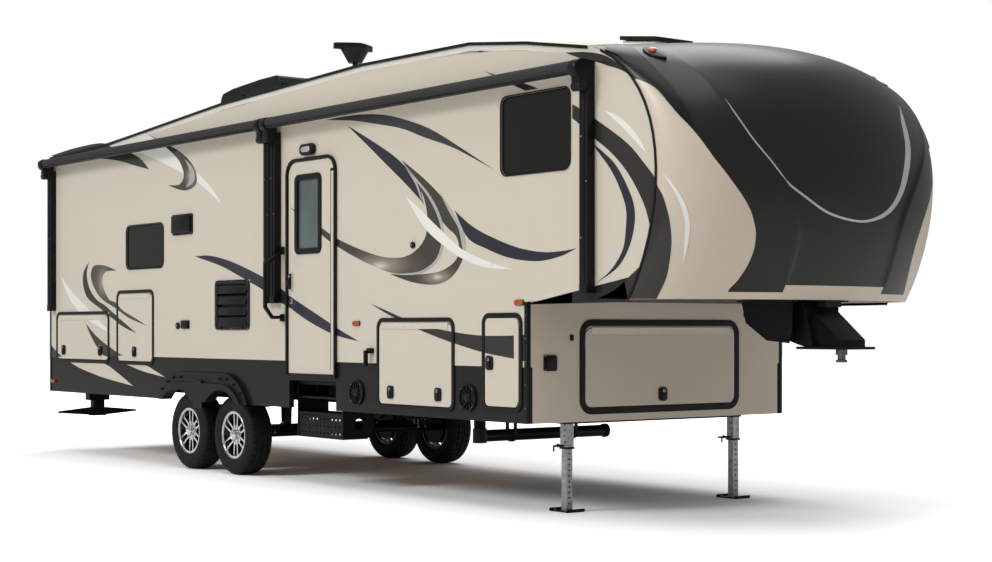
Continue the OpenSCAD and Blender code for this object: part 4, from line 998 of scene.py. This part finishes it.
def cap_graphics():
    """Blades and raised mouldings on the cap's sides, and the silver ring on its front."""
    middle = projector(CAP, (-1, 0, 0))
    for name, side in (("door_side", -1), ("off_side", 1)):
        flank = projector(CAP, (0, -side, 0))
        for vinyl, thickness, front, rear in CAP_SIDES:
            blade = sweep(front, rear, 60, 8)
            drape(blade, flank, lambda c: Vector((c.x, side * 1.3, c.y)) + SHIFT, 0.0010, thickness)
            piece(f"{vinyl}_cap_blade_{name}", blade, VINYL[vinyl], BODY)
        ridge = sweep(*SHOULDER, 60, 6)
        drape(ridge, flank, lambda c: Vector((c.x, side * 1.3, c.y)) + SHIFT, 0.0, 0.013)
        made = piece(f"shoulder_moulding_{name}", ridge, FINISHES["dark_skirt"], BODY, smooth=0.9)
        soft = made.modifiers.new("edges", "BEVEL")
        soft.width, soft.segments, soft.limit_method, soft.angle_limit = 0.010, 4, "ANGLE", 0.9
    ring = sweep(*CAP_RING, 110, 2)
    drape(ring, middle, lambda c: Vector((1.5, c.x, c.y)) + SHIFT, 0.0006, 0.0012)
    piece("silver_ring", ring, VINYL["silver"], BODY)


cap_graphics()


def cap_lamps():
    """Amber clearance lamps in teardrop bases on the cap's shoulders."""
    lens, base = bmesh.new(), bmesh.new()
    for side in (-1, 1):
        find = projector(CAP, (0, -side * 0.5, -1))
        hit, normal = find(SHIFT + Vector((1.050, side * 1.035, 2.975)))
        ahead = Vector((0.94, side * 0.05, -0.34))
        across = normal.cross(ahead).normalized()
        ahead = across.cross(normal).normalized()
        place = Matrix.Translation(hit) @ Matrix((ahead, across, normal)).transposed().to_4x4()
        verts = drum(base, (0, 0, 0), 1.0, 0.022, "Z", 0.0, 40)
        for vert in verts:
            taper = 1.0 - 0.55 * max(vert.co.x, 0.0)
            vert.co = Vector((vert.co.x * 0.115 + 0.010, vert.co.y * 0.048 * taper, vert.co.z))
        ease(base, [], sharp_edges(verts, 0.9), 0.006, 3)
        fresh = [v for v in base.verts if abs(v.co.x) < 0.4 and abs(v.co.y) < 0.4]
        bmesh.ops.transform(base, matrix=place, verts=fresh)
        lathe(lens, [(0.026, 0.004), (0.0262, 0.018), (0.022, 0.026), (0.012, 0.030), (0.0001, 0.031)],
              place @ Matrix.Translation((-0.020, 0, 0)), 32)
    fitting("clearance_lamp_bases", base)
    fitting("clearance_lamp_lenses", lens, "amber_lens")


cap_lamps()


# Fittings on the walls and the roof

def wall_details():
    """Ports, sockets and vents on the walls: rims, flaps, screws and slots."""
    dark, chrome = bmesh.new(), bmesh.new()
    at = on_side(0, 0)
    for x, z in ((-2.080, 0.765), (-0.658, 0.770)):
        place = on_side(x, z, FACE_OUT) @ UPRIGHT
        lathe(dark, [(0.096, -0.012), (0.0965, 0.001), (0.093, 0.004), (0.086, 0.004), (0.084, 0.0)], place,
              48)
        lathe(dark, [(0.030, -0.004), (0.0295, 0.002), (0.026, 0.004), (0.0001, 0.0055)], place, 32)
        for k in range(12):
            spoke = place @ Matrix.Rotation(math.tau * k / 12, 4, "Z")
            block(dark, (0.028, -0.0022, -0.007), (0.086, 0.0022, 0.0005), 0.0008, 0.0, spoke)
        for k in range(4):
            spoke = place @ Matrix.Rotation(math.pi * (k + 0.5) / 2, 4, "Z")
            drum(chrome, (0.0895, 0, 0.0045), 0.0032, 0.003, "Z", 0.0008, 10, at=spoke)
    for x, z, r in ((-1.330, 1.860, 0.024), (-5.013, 1.277, 0.030)):
        place = on_side(x, z, FACE_OUT) @ UPRIGHT
        lathe(dark, [(r, -0.012), (r + 0.001, 0.0), (r - 0.003, 0.003), (r - 0.008, 0.002),
                     (r - 0.010, 0.005),
                     (0.0001, 0.007)], place, 32)
        drum(chrome, (0, 0, 0.0075), r * 0.28, 0.004, "Z", 0.001, 16, at=place)
    block(dark, (-5.098, -0.034, 2.104), (-4.752, -0.012, 2.258), 0.007, 0.010, at)
    for x0, x1, z0, z1 in ((-4.940, -4.800, 1.250, 1.325), (-1.912, -1.850, 1.066, 1.106)):
        block(dark, (x0 + 0.005, -0.022, z0 + 0.005), (x1 - 0.005, -0.013, z1 - 0.004), 0.002, 0.006, at)
    front = on_front(0, 0)
    block(dark, (-1.070, -0.022, 0.976), (-0.980, -0.012, 1.063), 0.003, 0.010, front)
    block(dark, (-1.052, -0.027, 0.990), (-0.998, -0.020, 1.002), 0.002, 0.004, front)
    screws(chrome, [(-1.073, 0.973), (-0.977, 0.973), (-1.073, 1.066), (-0.977, 1.066)],
           proud(front, FACE_OUT))
    for x0, x1, z0, z1 in (OPENINGS["fridge_vent"], (-5.108, -4.742, 2.092, 2.263)):
        spots = [(x, z) for x in (x0 + 0.010, (x0 + x1) / 2, x1 - 0.010) for z in (z0 + 0.010, z1 - 0.010)]
        screws(chrome, spots, proud(at, FACE_OUT))
    for k in range(4):
        tilt = at @ Matrix.Translation((-4.02, -0.015, 1.308 + k * 0.092)) @ Matrix.Rotation(-0.22, 4, "X")
        block(dark, (-0.262, -0.004, -0.036), (0.262, 0.004, 0.036), 0.002, 0.0, tilt)
        for x in (-0.245, 0.245):
            block(dark, (x - 0.012, -0.006, -0.036), (x + 0.012, 0.004, 0.036), 0.002, 0.0, tilt)
    for x in (-4.20, -3.84):
        drum(dark, (x, -0.018, 1.258), 0.011, 0.008, "Y", 0.002, 20, at=at)
    for x, top, step in ((-0.014, 1.42, 0.13), (-7.816, 2.94, 0.15)):
        screws(chrome, [(x, z) for z in walk(0.64, top, step)], proud(at, 0.005), 0.003)
    fitting("wall_port_covers", dark)
    piece("wall_screws", chrome, SCREW)


wall_details()


def lamp_details():
    """Inner lenses and rims of the lamps."""
    clear, amber, red, dark = bmesh.new(), bmesh.new(), bmesh.new(), bmesh.new()
    at = on_side(0, 0)
    block(dark, (-2.878, -0.040, 2.627), (-2.672, 0.0, 2.717), 0.012, 0.043, at)
    block(clear, (-2.838, -0.046, 2.650), (-2.712, -0.036, 2.694), 0.004, 0.021, at)
    for k in range(6):
        x = k * 0.0172
        block(dark, (-2.822 + x, -0.0475, 2.652), (-2.818 + x, -0.045, 2.692), 0.0008, 0.0, at)
    for x, z in ((-2.085, 1.291), (-0.080, 1.427)):
        for place in (on_side(x, z), on_off_side(x, z)):
            block(dark, (-0.049, -0.006, -0.020), (0.049, 0.0, 0.020), 0.0015, 0.012, place)
            for k in range(7):
                step = k * 0.0105
                block(amber, (-0.036 + step, -0.020, -0.011), (-0.030 + step, -0.017, 0.011), 0.0008, 0.0,
                      place)
    for side in (-1, 1):
        place = on_rear(-side * 1.079, 1.285)
        ring_frame(dark, -0.066, 0.066, -0.141, 0.141, 0.024, 0.008, 0.012, place)
        for k in range(12):
            z = k * 0.0213
            block(red, (-0.052, -0.0275, -0.122 + z), (0.052, -0.0235, -0.110 + z), 0.0012, 0.0, place)
    fitting("lamp_rims", dark)
    fitting("porch_lamp_ribs", clear, "clear_lens")
    fitting("marker_lamp_ribs", amber, "amber_lens")
    fitting("tail_lamp_ribs", red, "red_lens")


lamp_details()


def window_details():
    """Rubber seal around the glass of each window."""
    dark = bmesh.new()
    spots = [((-0.280, 0.447, 2.290, 2.820), on_side(0, 0)), ((-6.060, -5.305, 1.810, 2.210), on_side(0, 0)),
             ((-0.447, 0.280, 2.290, 2.820), on_off_side(0, 0)), ((6.500, 7.350, 1.810, 2.210),
                                                                  on_off_side(0, 0)),
             ((-0.450, 0.450, 1.900, 2.350), on_rear(0, 0))]
    for (x0, x1, z0, z1), place in spots:
        box = (x0 + 0.003, x1 - 0.003, z0 + 0.003, z1 - 0.003)
        ring_frame(dark, *box, 0.055, 0.012, 0.005, proud(place, -0.005))
    fitting("window_seals", dark)


window_details()


def roof_details():
    """Grille and lid screws of the air conditioner, and caps on the roof vents."""
    dark, pale = bmesh.new(), bmesh.new()
    for side in (-1, 1):
        for k in range(6):
            x = -5.700 + k * 0.060
            at = Matrix.Translation(SHIFT + Vector((x, side * 0.338, 3.345)))
            block(dark, (-0.004, -0.012, -0.045), (0.003, 0.012, 0.045 + k * 0.009), 0.0015, 0.0, at)
        for k in range(5):
            drum(dark, SHIFT + Vector((-5.72 + k * 0.23, side * 0.352, 3.300)), 0.009, 0.008, "Y", 0.002, 14)
    for x, z in ((-6.900, 3.079), (-3.450, 3.297), (-1.700, 3.343)):
        drum(pale, SHIFT + Vector((x, 0, z + 0.082)), 0.060, 0.006, "Z", 0.003, 36, top=0.040)
    fitting("air_conditioner_grille", dark)
    fitting("vent_caps", pale, "white_plastic")


roof_details()


def running_details():
    """Bolts on the arch trims and springs, fittings of the legs, the bumper's caps, and dark sheets in the
    wheel wells as painted shade.
    """
    dark, steel = bmesh.new(), bmesh.new()
    for side in (-1, 1):
        place = on_side(0, 0, 0.045) if side < 0 else on_off_side(0, 0, 0.045)
        for middle, towards in ((WHEELS["front"], 1), (WHEELS["rear"], -1)):
            for turn in (48, 64, 80, 96):
                a = math.radians(turn)
                x = middle + towards * ARCH_R * math.cos(a)
                z = 0.370 + ARCH_R * math.sin(a)
                drum(dark, (x if side < 0 else -x, -0.003, z), 0.0095, 0.008, "Y", 0.002, 6, at=place)
        for x in WHEELS.values():
            for d in (-1, 1):
                for y in (-0.040, 0.040):
                    at = Matrix.Translation(SHIFT + Vector((x + d * 0.030, side * RAIL_Y + y, 0.0)))
                    drum(steel, (0, 0, 0.385), 0.006, 0.080, "Z", 0.001, 12, at=at)
                    drum(steel, (0, 0, 0.346), 0.011, 0.012, "Z", 0.0015, 6, at=at)
                drum(steel, SHIFT + Vector((x + d * 0.300, side * RAIL_Y, 0.455)), 0.014, 0.088, "Y", 0.002,
                     16)
        y = side * 1.022
        block(dark, (-7.956, y - 0.006, 0.607), (-7.844, y + 0.006, 0.713), 0.004, 0.0,
              Matrix.Translation(SHIFT))
        leg = Matrix.Translation(SHIFT + Vector((-0.090, side * RAIL_Y, 0)))
        block(dark, (-0.038, -0.038, 0.428), (0.038, 0.038, 0.442), 0.002, 0.0, leg)
        drum(steel, (-0.098, 0, 0.446), 0.014, 0.010, "X", 0.003, 18, at=leg)
        drum(dark, (0.0, -0.070, 0.452), 0.007, 0.100, "Y", 0.002, 12, at=leg)
        drum(dark, (0.0, -0.117, 0.434), 0.006, 0.042, "Z", 0.002, 12, at=leg)
        for k in range(4):
            drum(dark, (0.018, -0.0355, 0.478 + k * 0.040), 0.0055, 0.003, "Y", 0.0, 12, at=leg)
        for x, y in ((-0.070, 0.048), (-0.070, -0.048), (0.070, 0.048), (0.070, -0.048)):
            drum(steel, (x, y, 0.012), 0.007, 0.008, "Z", 0.001, 6, at=leg)
        # flat dark sheet just inside the tyres: painted shade that fills the wheel well
        y = side * 0.9275
        block(dark, (-5.450, y - 0.0025, 0.640), (-3.640, y + 0.0025, 0.975), 0.0, 0.0,
              Matrix.Translation(SHIFT))
    fitting("arch_bolts_and_painted_shade_sheets", dark)
    piece("spring_bolts", steel, FINISHES["galvanised"], BODY)


running_details()


# Stage, light and camera

def stage():
    """Pale floor that fades to white, an even sky and three broad lamps."""
    bm = bmesh.new()
    bmesh.ops.create_circle(bm, cap_ends=True, segments=96, radius=60.0)
    mesh = bpy.data.meshes.new("floor")
    bm.to_mesh(mesh)
    bm.free()
    floor = shown("floor", mesh)
    made = Shader("pale_floor")
    seen = made.node("LightPath").outputs["Is Camera Ray"]
    pale = made.ramp(made.noise(0.3), [(0.0, (0.86, 0.86, 0.86)), (1.0, (0.9, 0.9, 0.9))])
    made.link(made.mix(seen, pale, (1.45, 1.45, 1.45)), "Base Color")
    made.surface(Roughness=0.9, Specular_IOR_Level=0.1)
    away = made.node("VectorMath", [(0, made.coords)], operation="LENGTH").outputs["Value"]
    reach = made.node("MapRange", [(0, away)], in_1=5.0, in_2=14.0, in_3=0.0, in_4=1.0)
    glow = made.node("Emission", [("Strength", made.math("MULTIPLY", reach.outputs[0], seen))])
    add = made.node("AddShader", [(0, made.bsdf.outputs[0]), (1, glow.outputs[0])])
    made.tree.links.new(add.outputs[0], made.tree.nodes["Material Output"].inputs["Surface"])
    floor.data.materials.append(made.material)

    world = bpy.data.worlds.new("studio")
    bpy.context.scene.world = world
    world.use_nodes = True
    tree = world.node_tree
    plain, white = tree.nodes["Background"], tree.nodes.new("ShaderNodeBackground")
    for sky, strength in ((plain, 0.36), (white, 1.0)):
        sky.inputs["Color"].default_value = (1.0, 1.0, 1.0, 1.0)
        sky.inputs["Strength"].default_value = strength
    rays = tree.nodes.new("ShaderNodeLightPath")
    choose = tree.nodes.new("ShaderNodeMixShader")
    tree.links.new(rays.outputs["Is Camera Ray"], choose.inputs[0])
    tree.links.new(plain.outputs[0], choose.inputs[1])
    tree.links.new(white.outputs[0], choose.inputs[2])
    tree.links.new(choose.outputs[0], tree.nodes["World Output"].inputs["Surface"])

    def lamp(name, place, target, size, power):
        light = bpy.data.lights.new(name, "AREA")
        light.shape = "DISK"
        light.size = size
        light.energy = power
        made = shown(name, light)
        made.location = place
        made.rotation_euler = (Vector(target) - Vector(place)).to_track_quat("-Z", "Y").to_euler()

    lamp("key", (-3.0, -22.0, 15.0), (0.0, 0.0, 1.5), 9.0, 2600.0)
    lamp("overhead", (5.5, -3.0, 16.0), (2.5, 0.0, 1.8), 13.0, 900.0)
    lamp("back_fill", (-4.0, 7.0, 15.5), (2.5, 0.0, 1.8), 12.0, 1000.0)


FOCAL_PX, IMAGE_W = 1757.2, 992.0


def camera():
    """Stands where the photograph was taken."""
    data = bpy.data.cameras.new("photo_camera")
    data.sensor_width = 36.0
    data.lens = FOCAL_PX / IMAGE_W * data.sensor_width
    data.shift_x = -1.75 / IMAGE_W
    data.shift_y = 46.98 / IMAGE_W
    made = shown("photo_camera", data)
    made.location = (12.236, -8.4465, 1.257)
    made.rotation_euler = Vector((-0.7937, 0.6083, 0.0)).to_track_quat("-Z", "Y").to_euler()
    bpy.context.scene.camera = made


stage()
camera()
bpy.context.scene.view_settings.view_transform = "Standard"
